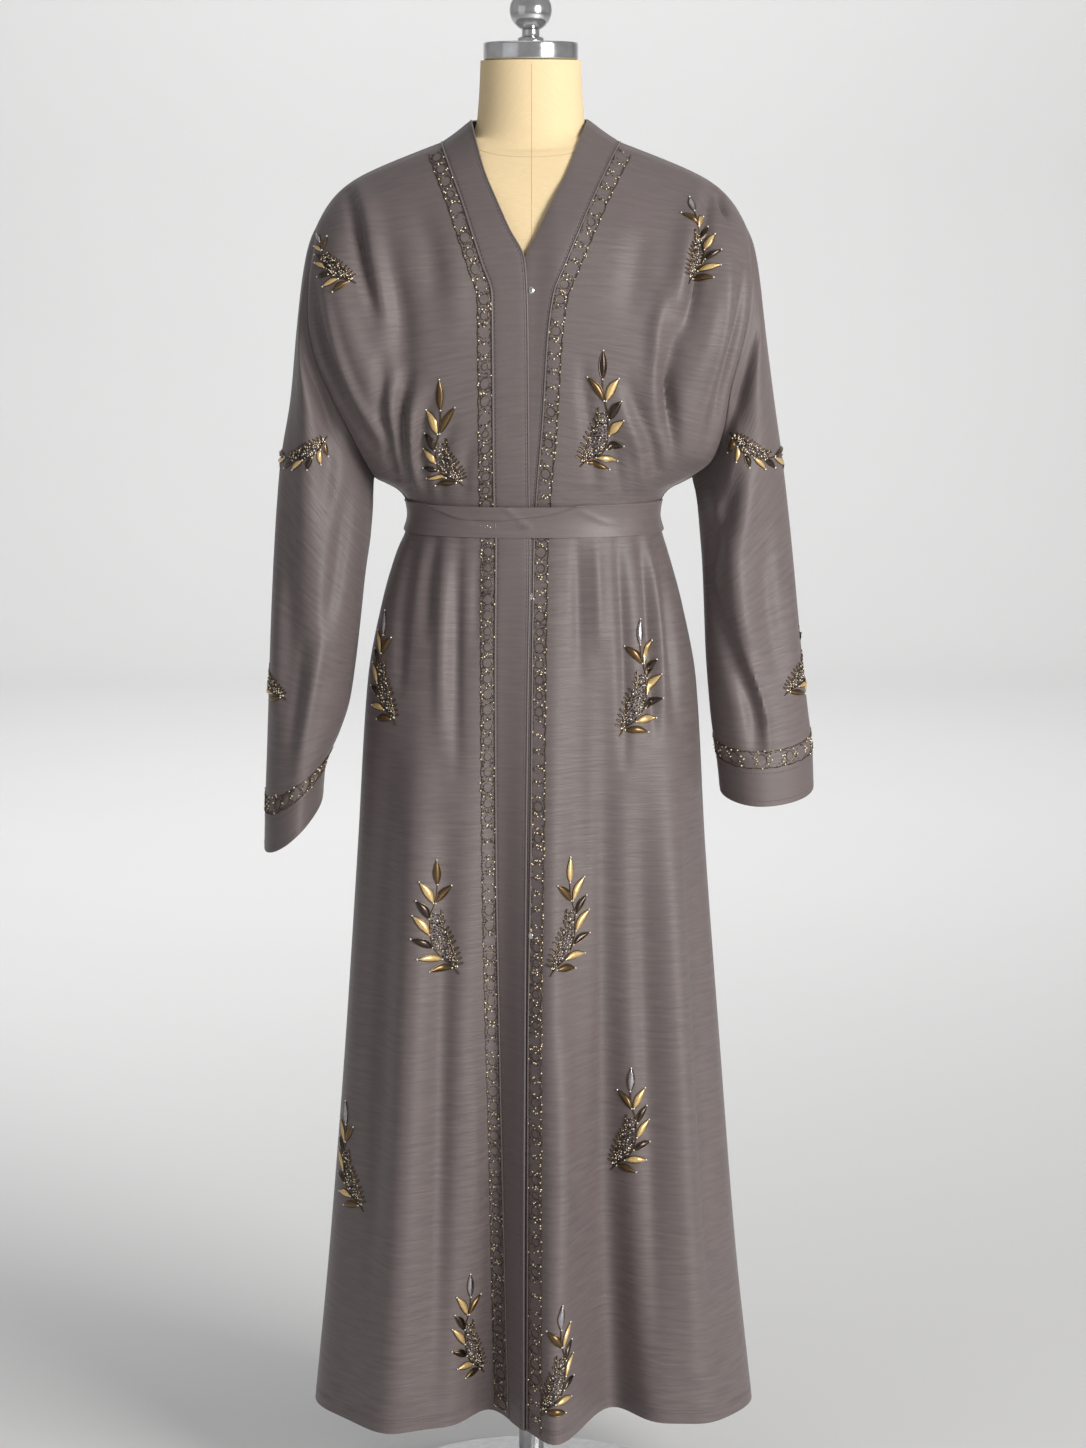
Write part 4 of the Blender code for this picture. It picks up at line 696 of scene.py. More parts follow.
def sleeve_at(side, x, z, across, up):
    """Points and normals of a sleeve's front half at (x - side * across, z + up) of the front view:
    angle and place along step down both slopes of the sleeve without creases."""
    x, z = x - side * across, z + up
    angle = np.full(x.shape, pi / 2)
    along = np.clip((1.42 - z) / 0.6, 0.02, 0.98)
    for _ in range(12):
        here = sleeve_form(side, angle, along)
        turned_on = (sleeve_form(side, angle + STEP, along) - here) / STEP
        moved_on = (sleeve_form(side, angle, along + STEP) - here) / STEP
        miss_x, miss_z = x - here[..., 0], z - here[..., 2]
        area = turned_on[..., 0] * moved_on[..., 2] - moved_on[..., 0] * turned_on[..., 2]
        area = np.where(np.abs(area) < 1e-4, 1e-4 * np.where(area < 0, -1, 1), area)
        angle = angle + np.clip((miss_x * moved_on[..., 2] - miss_z * moved_on[..., 0]) / area, -0.3, 0.3)
        along = along + np.clip((miss_z * turned_on[..., 0] - miss_x * turned_on[..., 2]) / area, -0.1, 0.1)
        angle = np.clip(angle, -0.45, pi)
        along = np.clip(along, 0.0, 1.0)
    return normals_of(lambda a, b: sleeve_skin(side, a, b), angle, along)


def back_skin(side, turn, height):
    """Half of the back with its creases."""
    points = body(BACK, side, turn, height)
    facing = body_facing(BACK, side, turn, height)
    return dented(points, facing, BACK_CREASES, keep_seams(turn, height))


def sleeve_row(side, name, along):
    """The named column of a sleeve's rows at this place along it."""
    return read(SLEEVES[side], SLEEVE_NAMES, name, along)


def sleeve_ring(side, angle, along):
    """Oval ring: middle + reach * cos(angle) from outside to inside, depth * sin(angle) in front."""
    outer_x, outer_z, inner_x, inner_z = [sleeve_row(side, name, along) for name in SLEEVE_NAMES[1:5]]
    x = side * ((outer_x + inner_x) + (outer_x - inner_x) * np.cos(angle)) / 2
    z = ((outer_z + inner_z) + (outer_z - inner_z) * np.cos(angle)) / 2
    z = z - CUFF_DIP * np.sin(angle) * ramp(along, 0.55, 1.0)
    y = sleeve_row(side, "mid", along) - sleeve_row(side, "deep", along) * np.sin(angle)
    y = y - ELBOW_RIDGE * np.exp(-((np.mod(angle, 2 * pi) - 1.9) / 0.5) ** 2) * ramp(along, 0.3, 0.6)
    return placed(x, y, z)


@lru_cache(maxsize=None)
def armhole(side):
    """Angles round the armhole seam, and how far it stands off the sleeve's first oval there."""
    heights = np.linspace(TOP, UNDERARM, 100)
    front = body(FRONT, side, pi / 2, heights)
    back = body(BACK, side, pi / 2, heights[-2:0:-1])
    loop = np.concatenate([front, back])
    axis = front[0] - front[-1]
    share = ((loop - front[-1]) @ axis) / (axis @ axis)
    angles = np.arccos(np.clip(2 * share - 1, -1, 1))
    angles[100:] = 2 * pi - angles[100:]
    return angles, loop - sleeve_ring(side, angles, np.zeros_like(angles))


def sleeve_form(side, angle, along):
    """The sleeve: its oval rings, plus the armhole's own shape dying out down the arm, plus the
    hollow beside the armhole."""
    angle, along = np.broadcast_arrays(np.asarray(angle, float), np.asarray(along, float))
    angles, own = armhole(side)
    around = np.mod(angle, 2 * pi)
    offset = np.stack([np.interp(around, angles, own[:, k], period=2 * pi) for k in range(3)], axis=-1)
    points = sleeve_ring(side, angle, along) + offset * (1 - ramp(along, 0, ARMHOLE_FADE))[..., None]
    hollow = RECESS * np.exp(-((along - RECESS_AT) / RECESS_WIDE) ** 2) * ramp(along, 0, 0.03)
    points[..., 1] += hollow * power(np.sin(angle), 3)
    return points


def sleeve_skin(side, angle, along):
    """The sleeve with its creases, those in front faded out behind and the other way round."""
    angle, along = np.broadcast_arrays(np.asarray(angle, float), np.asarray(along, float))
    points = sleeve_form(side, angle, along)
    outward = np.zeros_like(points)
    outward[..., 0] = side * np.cos(angle) * 0.4
    outward[..., 1] = -np.sin(angle)
    free = ramp(along, 0.02, 0.12) * (1 - ramp(along, 0.90, 0.98))
    points = dented(points, outward, SLEEVE_CREASES[side], free * ramp(np.sin(angle), 0, 0.5))
    return dented(points, outward, SLEEVE_BACK_CREASES[side], free * ramp(-np.sin(angle), 0, 0.5))


def quads(rows, columns, closed=False):
    """Corner indices of a grid's cells as (row, column) pairs in order round each cell."""
    r, c = np.meshgrid(np.arange(rows - 1), np.arange(columns if closed else columns - 1), indexing="ij")
    r, c = r.ravel(), c.ravel()
    return np.stack([r, r, r + 1, r + 1], axis=1), np.stack([c, c + 1, c + 1, c], axis=1)


def inside_out(points, faces):
    """Whether the signed volume, the sum of dot(a, b x c) / 6 over the triangles, is negative."""
    points = points - points.mean(axis=0)
    volume = 0.0
    for part in faces:
        corners = points[part]
        for k in range(1, part.shape[1] - 1):
            volume += np.sum(corners[:, 0] * np.cross(corners[:, k], corners[:, k + 1]))
    return volume < 0


def add_piece(name, points, faces, finish, weave=None):
    """Make one closed mesh whose faces point out: where it is inside out, every face is turned round.

    faces is a list of index arrays, one for each count of corners, and weave a list of like arrays
    with (u, v) in metres for every corner.
    """
    points = np.asarray(points, float).reshape(-1, 3)
    if inside_out(points, faces):
        faces = [part[:, ::-1] for part in faces]
        weave = [part[:, ::-1] for part in weave] if weave else None
    loops = np.concatenate([part.ravel() for part in faces])
    totals = np.concatenate([np.full(len(part), part.shape[1]) for part in faces])
    mesh = bpy.data.meshes.new(name)
    mesh.vertices.add(len(points))
    mesh.vertices.foreach_set("co", points.ravel())
    mesh.loops.add(len(loops))
    mesh.loops.foreach_set("vertex_index", loops)
    mesh.polygons.add(len(totals))
    mesh.polygons.foreach_set("loop_start", np.cumsum(totals) - totals)
    mesh.polygons.foreach_set("loop_total", totals)
    mesh.update(calc_edges=True)
    if weave:
        layer = mesh.uv_layers.new(name="weave")
        layer.data.foreach_set("uv", np.concatenate([part.reshape(-1, 2) for part in weave]).ravel())
    mesh.shade_smooth()
    mesh.set_sharp_from_angle(angle=SHARP)
    for each in finish if isinstance(finish, (list, tuple)) else [finish]:
        mesh.materials.append(each)
    piece = bpy.data.objects.new(name, mesh)
    bpy.context.collection.objects.link(piece)
    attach(piece, "root")
    return piece


def grid_facing(grid, closed=False):
    """Normals of a grid from its neighbours' points, unsigned as to inside and outside."""
    if closed:
        across = np.roll(grid, -1, axis=1) - np.roll(grid, 1, axis=1)
    else:
        across = np.gradient(grid, axis=1)
    return unit(np.cross(across, np.gradient(grid, axis=0)))


def cloth(name, grid, outward, finish, closed=False, thick=WALL):
    """A wall of cloth: the outer grid, the same grid moved inwards by the thickness, and rims.

    outward is a like grid, or one vector, that tells which way is out. The weave's (u, v) are the
    lengths run across and up the grid.
    """
    rows, columns = grid.shape[:2]
    facing = grid_facing(grid, closed)
    facing = facing * np.where(np.sum(facing * outward, axis=-1, keepdims=True) < 0, -1, 1)
    around = np.concatenate([grid, grid[:, :1]], axis=1) if closed else grid
    u = run_lengths(around, 1)
    u = u - u.mean(axis=1, keepdims=True)
    v = run_lengths(around, 0)
    place = np.stack([u, np.broadcast_to(v.mean(axis=1, keepdims=True), v.shape)], axis=-1)
    r, c = quads(rows, columns, closed)
    outer = r * columns + c % columns
    inner = (outer + rows * columns)[:, ::-1]
    faces = [outer, inner]
    weave = [place[r, c], place[r, c][:, ::-1]]
    count = columns if closed else columns - 1
    c = np.arange(count)
    n = (c + 1) % columns
    for start, flip in ((0, 1), ((rows - 1) * columns, -1)):
        behind = rows * columns + start
        rim = np.stack([start + c, behind + c, behind + n, start + n], axis=1)
        faces.append(rim[:, ::flip])
        at = place[0 if start == 0 else rows - 1]
        weave.append(np.stack([at[c], at[c], at[c + 1], at[c + 1]], axis=1)[:, ::flip])
    if not closed:
        r = np.arange(rows - 1)
        for column, flip in ((0, 1), (columns - 1, -1)):
            low = r * columns + column
            high = low + columns
            rim = np.stack([low, high, rows * columns + high, rows * columns + low], axis=1)
            faces.append(rim[:, ::flip])
            at = place[:, column]
            weave.append(np.stack([at[r], at[r + 1], at[r + 1], at[r]], axis=1)[:, ::flip])
    points = np.concatenate([grid.reshape(-1, 3), (grid - facing * thick).reshape(-1, 3)])
    return add_piece(name, points, [np.concatenate(faces)], finish, [np.concatenate(weave)])


def cut(grid, closed=False):
    """Repeat a closed grid's first column at its end; the grid is then dropped, and nothing is returned.
    """
    if closed:
        grid = np.concatenate([grid, grid[:, :1]], axis=1)


def joined(parts):
    """Put meshes together: their points one after another, their faces moved on by as much. A part
    that is inside out is turned first."""
    points = np.concatenate([part[0] for part in parts])
    start = 0
    faces = {}
    for part_points, part_faces in parts:
        flip = -1 if inside_out(part_points, part_faces) else 1
        for face in part_faces:
            faces.setdefault(face.shape[1], []).append(face[:, ::flip] + start)
        start += len(part_points)
    return points, [np.concatenate(group) for group in faces.values()]


def mixed_piece(name, groups):
    """One mesh of several finishes: groups pairs a finish with the parts that have it."""
    points, faces, kinds = [], [], []
    start = 0
    for k, (finish, parts) in enumerate(groups):
        part_points, part_faces = joined(parts)
        points.append(part_points)
        faces.extend(face + start for face in part_faces)
        kinds.extend(np.full(len(face), k) for face in part_faces)
        start += len(part_points)
    piece = add_piece(name, np.concatenate(points), faces, [finish for finish, parts in groups])
    piece.data.polygons.foreach_set("material_index", np.concatenate(kinds).astype(np.int32))
    return piece


def tubes(paths, facing, radius, sides=6, closed=False):
    """Round cords: radius * (cos a * across + sin a * up) carried along every path.

    paths and facing are (cords, points, 3). Open ends are closed with a flat face.
    """
    count, length = paths.shape[:2]
    if closed:
        ahead = np.roll(paths, -1, axis=1) - np.roll(paths, 1, axis=1)
    else:
        ahead = np.gradient(paths, axis=1)
    across = unit(np.cross(ahead, facing))
    up = unit(np.cross(across, ahead))
    a = np.arange(sides) * 2 * pi / sides
    points = (paths[:, :, None] + radius * (np.cos(a)[:, None] * across[:, :, None]
                                            + np.sin(a)[:, None] * up[:, :, None]))
    r, c = quads(length + 1 if closed else length, sides, closed=True)
    face = (r % length) * sides + c % sides
    starts = (np.arange(count) * length * sides)[:, None, None]
    faces = [(face + starts).reshape(-1, 4)]
    if not closed:
        ring = np.arange(sides)
        first = starts[:, 0] + ring[::-1]
        last = starts[:, 0] + (length - 1) * sides + ring
        faces.append(np.concatenate([first, last]))
    return points.reshape(-1, 3), faces


GOLDEN = (1 + 5 ** 0.5) / 2
BEAD = unit(np.array([
    (-1, GOLDEN, 0), (1, GOLDEN, 0), (-1, -GOLDEN, 0), (1, -GOLDEN, 0), (0, -1, GOLDEN),
    (0, 1, GOLDEN), (0, -1, -GOLDEN), (0, 1, -GOLDEN), (GOLDEN, 0, -1), (GOLDEN, 0, 1),
    (-GOLDEN, 0, -1), (-GOLDEN, 0, 1)], float))
BEAD_FACES = np.array([
    (0, 11, 5), (0, 5, 1), (0, 1, 7), (0, 7, 10), (0, 10, 11), (1, 5, 9), (5, 11, 4), (11, 10, 2),
    (10, 7, 6), (7, 1, 8), (3, 9, 4), (3, 4, 2), (3, 2, 6), (3, 6, 8), (3, 8, 9), (4, 9, 5),
    (2, 4, 11), (6, 2, 10), (8, 6, 7), (9, 8, 1)])


def beads(places, radius):
    """Small round beads: a twenty-sided ball of this radius at every place."""
    places = places.reshape(-1, 3)
    radius = np.broadcast_to(radius, len(places))
    points = places[:, None] + BEAD * radius[:, None, None]
    faces = BEAD_FACES + (np.arange(len(places)) * len(BEAD))[:, None, None]
    return points.reshape(-1, 3), [faces.reshape(-1, 3)]


def shells(top, bottom):
    """Closed stones: a top grid and a bottom grid, (stones, rows, columns, 3), joined round the edge."""
    count, rows, columns = top.shape[:3]
    r, c = quads(rows, columns)
    each = rows * columns
    starts = (np.arange(count) * each)[:, None, None]
    above = (r * columns + c + starts).reshape(-1, 4)
    below = above[:, ::-1] + count * each
    ring = np.concatenate([
        np.arange(columns), np.arange(1, rows) * columns + columns - 1,
        (rows - 1) * columns + np.arange(columns - 1)[::-1], np.arange(1, rows - 1)[::-1] * columns])
    after = np.roll(ring, -1)
    side = np.stack([after, ring, ring + count * each, after + count * each], axis=1)
    side = (side + starts).reshape(-1, 4)
    points = np.concatenate([top.reshape(-1, 3), bottom.reshape(-1, 3)])
    return points, [np.concatenate([above, below, side])]


def leaf_plan(rows=13, columns=7):
    """A leaf in its own plane: along 0 to 1, across, and how high it stands.

    Half width sin(pi s^0.9)^0.8, middle line bowed by sin(pi s), height (1 - |t|^1.5)^0.7 with a
    crest along the middle.
    """
    s = np.linspace(0, 1, rows)[:, None]
    t = np.linspace(-1, 1, columns)[None, :]
    swell = np.sin(pi * np.clip(s, 0.012, 0.988) ** 0.9)
    across = LEAF_HALF * swell ** 0.8 * t + LEAF_BOW * np.sin(pi * s)
    high = LEAF_HIGH * (0.22 + 0.78 * (1 - np.abs(t) ** 1.5) ** 0.7 * swell ** 0.5)
    return np.broadcast_to(s, across.shape), across, high


def lay_all(spray, plans):
    """Lay plans, arrays of (u, v) in a spray's plane, on its carrier: turned and scaled, and mirrored
    on the wearer's left. Gives points and normals in each plan's own shape."""
    carrier, side, x, z, scale, lean = spray[1:]
    turn = radians(lean)
    u, v = np.concatenate([plan.reshape(-1, 2) for plan in plans]).T
    across = (u * np.cos(turn) - v * np.sin(turn)) * scale
    up = (u * np.sin(turn) + v * np.cos(turn)) * scale
    find = front_at if carrier == "front" else sleeve_at
    points, facing = find(side, x, z, across, up)
    ends = np.cumsum([plan[..., 0].size for plan in plans])[:-1]
    return [(p.reshape(*plan.shape[:-1], 3), n.reshape(*plan.shape[:-1], 3))
            for p, n, plan in zip(np.split(points, ends), np.split(facing, ends), plans)]


def new_material(name):
    made = bpy.data.materials.new(name)
    made.use_nodes = True
    made.node_tree.nodes.clear()
    return made, made.node_tree


def add_node(tree, kind, links=(), **settings):
    """Add a node; settings name its properties, links pairs (input, value or output socket)."""
    node = tree.nodes.new(kind)
    for key, value in settings.items():
        setattr(node, key, value)
    for key, value in links:
        if isinstance(value, bpy.types.NodeSocket):
            tree.links.new(value, node.inputs[key])
        else:
            node.inputs[key].default_value = value
    return node


def finish_surface(tree, shader):
    out = add_node(tree, "ShaderNodeOutputMaterial")
    tree.links.new(shader.outputs["BSDF"], out.inputs["Surface"])


def toned(tree, value, base, low, high, start=0.0, end=1.0):
    """Colour that runs from base * low at start to base * high at end, no channel past 1."""
    node = add_node(tree, "ShaderNodeValToRGB", [("Fac", value)])
    for element, place, share in zip(node.color_ramp.elements, (start, end), (low, high)):
        element.position = place
        element.color = (*np.minimum(np.asarray(base) * share, 1), 1)
    return node.outputs["Color"]


def streaks(tree, source, across, up, detail=3.0, turn=0.0):
    """Noise drawn out along the cloth: across and up are its grains in each metre."""
    place = add_node(tree, "ShaderNodeMapping", [
        ("Vector", source), ("Scale", (across, up, 1.0)), ("Rotation", (0, 0, turn))])
    return add_node(tree, "ShaderNodeTexNoise", [
        ("Vector", place.outputs["Vector"]), ("Scale", 1.0), ("Detail", detail),
        ("Roughness", 0.55), ("Distortion", 0.35)])


def crepe(name, tint=1.0, lines=True, smoothness=0.50):
    """Crinkled satin crepe: fine wavy crinkle lines across the cloth, raised by a bump and painted into its
    colour as shade in their troughs and light on their crests, a twill grain and a soft sheen.
    """
    made, tree = new_material(name)
    uv = add_node(tree, "ShaderNodeUVMap", uv_map="weave").outputs["UV"]
    fine = streaks(tree, uv, 420.0, 1500.0, 2.0)
    line = streaks(tree, uv, 26.0, 230.0, 4.0)
    cloud = streaks(tree, uv, 7.0, 5.0, 2.0)
    base = np.array(colours().crepe) * tint
    # painted shade and light: the crinkle noise that raises the bump also darkens the colour to base * low
    # in its troughs and lightens it to base * high on its crests
    low, high = (0.74, 1.22) if lines else (0.84, 1.14)
    colour = toned(tree, line.outputs["Fac"], base, low, high, 0.30, 0.72)
    shade = add_node(tree, "ShaderNodeMix", [
        ("Factor", cloud.outputs["Fac"]), ("A", colour),
        ("B", (*(base * np.array((1.03, 1.0, 1.0))), 1))], data_type="RGBA")
    rough = add_node(tree, "ShaderNodeMapRange", [
        ("Value", fine.outputs["Fac"]), ("To Min", smoothness - 0.07), ("To Max", smoothness + 0.09)])
    crinkle = add_node(tree, "ShaderNodeBump", [
        ("Height", line.outputs["Fac"]), ("Strength", 0.80 if lines else 0.22),
        ("Distance", sizes().crinkle_depth)])
    grain = add_node(tree, "ShaderNodeBump", [
        ("Height", fine.outputs["Fac"]), ("Strength", 0.35), ("Distance", 0.00025),
        ("Normal", crinkle.outputs["Normal"])])
    shader = add_node(tree, "ShaderNodeBsdfPrincipled", [
        ("Base Color", colour_of(shade)), ("Roughness", rough.outputs["Result"]),
        ("Sheen Weight", 0.20), ("Sheen Roughness", 0.35), ("Sheen Tint", (0.95, 0.88, 0.88, 1)),
        ("Specular IOR Level", 0.42), ("Normal", grain.outputs["Normal"])])
    finish_surface(tree, shader)
    return made


def colour_of(mix):
    """The colour among a Mix node's outputs."""
    return [socket for socket in mix.outputs if socket.type == "RGBA"][0]


def linen():
    """Natural linen: two crossed sets of fine threads with slubs, in warm ivory."""
    made, tree = new_material("form_linen")
    uv = add_node(tree, "ShaderNodeUVMap", uv_map="weave").outputs["UV"]
    warp = streaks(tree, uv, 1600.0, 90.0, 2.0)
    weft = streaks(tree, uv, 90.0, 1600.0, 2.0)
    both = add_node(tree, "ShaderNodeMath", [(0, warp.outputs["Fac"]), (1, weft.outputs["Fac"])],
                    operation="ADD")
    colour = toned(tree, weft.outputs["Fac"], colours().linen, (0.93, 0.91, 0.87), 1.03, 0.30, 0.70)
    bump = add_node(tree, "ShaderNodeBump", [
        ("Height", both.outputs["Value"]), ("Strength", 0.35), ("Distance", 0.0003)])
    shader = add_node(tree, "ShaderNodeBsdfPrincipled", [
        ("Base Color", colour), ("Roughness", 0.82), ("Sheen Weight", 0.1),
        ("Normal", bump.outputs["Normal"])])
    finish_surface(tree, shader)
    return made


def metal(name, colour, roughness, spread=0.08, grain=400.0, metallic=1.0):
    """Metal or foiled stone: its roughness and colour drift over a fine grain."""
    made, tree = new_material(name)
    place = add_node(tree, "ShaderNodeTexCoord").outputs["Object"]
    noise = add_node(tree, "ShaderNodeTexNoise", [
        ("Vector", place), ("Scale", grain), ("Detail", 3.0)])
    rough = add_node(tree, "ShaderNodeMapRange", [
        ("Value", noise.outputs["Fac"]), ("To Min", roughness - spread / 2),
        ("To Max", roughness + spread)])
    shader = add_node(tree, "ShaderNodeBsdfPrincipled", [
        ("Base Color", toned(tree, noise.outputs["Fac"], colour, 0.80, 1.12, 0.25, 0.75)),
        ("Metallic", metallic), ("Roughness", rough.outputs["Result"])])
    finish_surface(tree, shader)
    return made


def row_heights():
    """Heights of the fine rows: even up to the shoulder, then closing up towards its seam."""
    low = np.linspace(HEM, SHOULDER, 236)
    high = TOP - (TOP - SHOULDER) * (1 - np.linspace(0, 1, 46)[1:]) ** 1.6
    return np.concatenate([low, high])


def front_grid(side, columns=76):
    """A front from its band's seam to the side seam and the armhole, hem to shoulder."""
    heights = row_heights()[:, None]
    start = turn_at(edge(SIDE_NAMES[side] + "_seam", heights), side, heights)
    share = np.linspace(0, 1, columns)[None, :]
    return front_skin(side, start + (pi / 2 - start) * share, heights + 0 * share)


def band_grid(side, columns=14):
    """A front band from its free edge to its seam, crowned a little across its width."""
    heights = row_heights()[:, None]
    free = edge(SIDE_NAMES[side] + "_free", heights)
    seam = edge(SIDE_NAMES[side] + "_seam", heights)
    share = np.linspace(0, 1, columns)[None, :]
    x = free + (seam - free) * share
    grid = front_skin(side, turn_at(x, side, heights), heights + 0 * x)
    crown = 0.0009 * (1 - (2 * share - 1) ** 6) * np.ones_like(x)
    return grid + body_facing(FRONT, side, turn_at(x, side, heights), heights + 0 * x) * crown[..., None]


NECK_COLUMNS = 20


def back_half(side, columns=52):
    """Half of the back, from the middle outwards; its top rows dip to the neckline."""
    heights = row_heights()[:, None]
    seam_turn = np.arcsin(NECK_SHARE ** (ROUND / 2))
    neck = NECK_SHARE * np.sin(np.linspace(0, pi / 2, NECK_COLUMNS + 1))
    neck = np.arcsin(neck ** (ROUND / 2))[None, :]
    outer = np.linspace(seam_turn, pi / 2, columns - NECK_COLUMNS)[None, 1:]
    turn = np.concatenate([neck + 0 * heights, outer + 0 * heights], axis=1)
    share = np.clip(np.sin(turn) ** (2 / ROUND) / NECK_SHARE, 0, 1)
    dip = NECK_DIP * np.sqrt(1 - share ** 2) * ramp(heights, 1.35, TOP)
    return back_skin(side, turn, heights - dip)


def back_grid():
    """The whole back, from the wearer's right side to the left one."""
    right = back_half(RIGHT)
    left = back_half(LEFT)
    return np.concatenate([right[:, :0:-1], left], axis=1)


def neck_band_grid(back, right_band, left_band):
    """The band behind the neck, from the back's neckline up to a half ellipse round the neck; its
    ends take the shape of the front bands' ends."""
    middle = back.shape[1] // 2
    low = back[-1, middle - NECK_COLUMNS:middle + NECK_COLUMNS + 1]
    right_end = right_band[-1, ::-1]
    left_end = left_band[-1, ::-1]
    angle = np.linspace(pi, 0, len(low))
    reach = (left_end[-1, 0] - right_end[-1, 0]) / 2
    x = (left_end[-1, 0] + right_end[-1, 0]) / 2 + reach * np.cos(angle)
    high = np.stack([x, NECK_BAND_DEEP * np.sin(angle), np.full(len(low), left_end[-1, 2])], axis=-1)
    grid = low + (high - low) * np.linspace(0, 1, len(left_end))[:, None, None]
    nearness = np.abs(np.cos(angle))[None, :, None] ** 4
    own = np.where(angle[None, :, None] > pi / 2, (right_end - grid[:, 0])[:, None],
                   (left_end - grid[:, -1])[:, None])
    return grid + own * nearness


def sleeve_tube(side, start, end, rings, around=108):
    """A length of sleeve as a grid, angle round it by place along it, and which way is out."""
    angle = np.linspace(0, 2 * pi, around, endpoint=False)[None, :]
    along = np.linspace(start, end, rings)[:, None]
    grid = sleeve_skin(side, angle, along)
    return grid, placed(side * np.cos(angle), -np.sin(angle), 0 * angle)


class AbayaSizes(PropertyGroup):
    crease_depth: FloatProperty(
        name="Crease depth", description="How deep the drawn creases are, as a share of their own",
        default=1.6, min=0.0, max=3.0, subtype="FACTOR")
    crinkle_depth: FloatProperty(
        name="Crinkle depth", description="Depth of the crepe's fine crinkle lines",
        default=0.0009, min=0.0, unit="LENGTH", subtype="DISTANCE")
    cord_radius: FloatProperty(
        name="Cord radius", description="Radius of the couched cord",
        default=0.00036, min=0.0001, unit="LENGTH", subtype="DISTANCE")
    seed_radius: FloatProperty(
        name="Seed radius", description="Radius of the dark seed beads of the strips",
        default=0.00064, min=0.0002, unit="LENGTH", subtype="DISTANCE")
    bead_radius: FloatProperty(
        name="Bead radius", description="Radius of the small gold beads of the strips",
        default=0.00115, min=0.0002, unit="LENGTH", subtype="DISTANCE")


class AbayaColours(PropertyGroup):
    crepe: FloatVectorProperty(
        name="Crepe", description="Warm grey of the cloth",
        default=(0.143, 0.118, 0.116), min=0.0, max=1.0, subtype="COLOR")
    gold: FloatVectorProperty(
        name="Gold", description="Gold stones and beads",
        default=(0.82, 0.58, 0.26), min=0.0, max=1.0, subtype="COLOR")
    pale_gold: FloatVectorProperty(
        name="Pale gold", description="Small gold beads",
        default=(1.0, 0.77, 0.52), min=0.0, max=1.0, subtype="COLOR")
    seed: FloatVectorProperty(
        name="Seed beads", description="Dark bronze seed beads",
        default=(0.075, 0.052, 0.034), min=0.0, max=1.0, subtype="COLOR")
    silver: FloatVectorProperty(
        name="Silver", description="Silver grey stones",
        default=(0.50, 0.47, 0.50), min=0.0, max=1.0, subtype="COLOR")
    bronze: FloatVectorProperty(
        name="Bronze", description="Brown stones",
        default=(0.20, 0.13, 0.065), min=0.0, max=1.0, subtype="COLOR")
    dark: FloatVectorProperty(
        name="Dark", description="Near black stones",
        default=(0.085, 0.065, 0.055), min=0.0, max=1.0, subtype="COLOR")
    thread: FloatVectorProperty(
        name="Thread", description="Dark bronze cord and thread",
        default=(0.155, 0.110, 0.070), min=0.0, max=1.0, subtype="COLOR")
    linen: FloatVectorProperty(
        name="Linen", description="Ivory of the form's cover",
        default=(0.84, 0.665, 0.40), min=0.0, max=1.0, subtype="COLOR")
    floor: FloatVectorProperty(
        name="Floor", description="Pale floor and backdrop",
        default=(0.72, 0.72, 0.72), min=0.0, max=1.0, subtype="COLOR")


class CutBody(Operator):
    """Cut and drape the two fronts and the back"""
    bl_idname = "abaya.cut_body"
    bl_label = "Fronts and back"

    def execute(self, context):
        finish = crepe("body_crepe")
        for side, name in SIDE_NAMES.items():
            grid = front_grid(side)
            piece = cloth("draped_front_" + name, grid, np.array((0.2 * side, -1.0, 0.1)), finish)
            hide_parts("front_" + name)
            cut(grid)
        grid = back_grid()
        piece = cloth("draped_back", grid, np.array((0.0, 1.0, 0.1)), finish)
        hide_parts("back_panel")
        cut(grid)
        return {"FINISHED"}


class SewBands(Operator):
    """Sew the plain bands down the fronts and behind the neck"""
    bl_idname = "abaya.sew_bands"
    bl_label = "Front and neck bands"

    def execute(self, context):
        finish = crepe("band_crepe", 0.94, lines=False, smoothness=0.46)
        grids = {side: band_grid(side) for side in (RIGHT, LEFT)}
        for side, name in SIDE_NAMES.items():
            piece = cloth("plain_band_" + name, grids[side], np.array((0.0, -1.0, 0.1)), finish)
            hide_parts("front_band_" + name)
            cut(grids[side])
        grid = neck_band_grid(back_grid(), grids[RIGHT], grids[LEFT])
        piece = cloth("plain_neck_band", grid, np.array((0.0, 1.0, 0.3)), finish)
        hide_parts("back_neck_band")
        cut(grid)
        return {"FINISHED"}


class HangSleeves(Operator):
    """Hang the two sleeves and sew on their cuffs"""
    bl_idname = "abaya.hang_sleeves"
    bl_label = "Sleeves and cuffs"

    def execute(self, context):
        finish = crepe("sleeve_crepe")
        plain = crepe("cuff_crepe", 0.95, lines=False, smoothness=0.46)
        for side, name in SIDE_NAMES.items():
            grid, outward = sleeve_tube(side, 0.0, 1.0, 150)
            piece = cloth("draped_sleeve_" + name, grid, outward, finish, closed=True)
            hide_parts("sleeve_" + name)
            cut(grid, closed=True)
            grid, outward = sleeve_tube(side, 1.0, CUFF_EDGE, 14)
            piece = cloth("plain_cuff_" + name, grid, outward, plain, closed=True)
            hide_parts("cuff_" + name)
            cut(grid, closed=True)
        return {"FINISHED"}


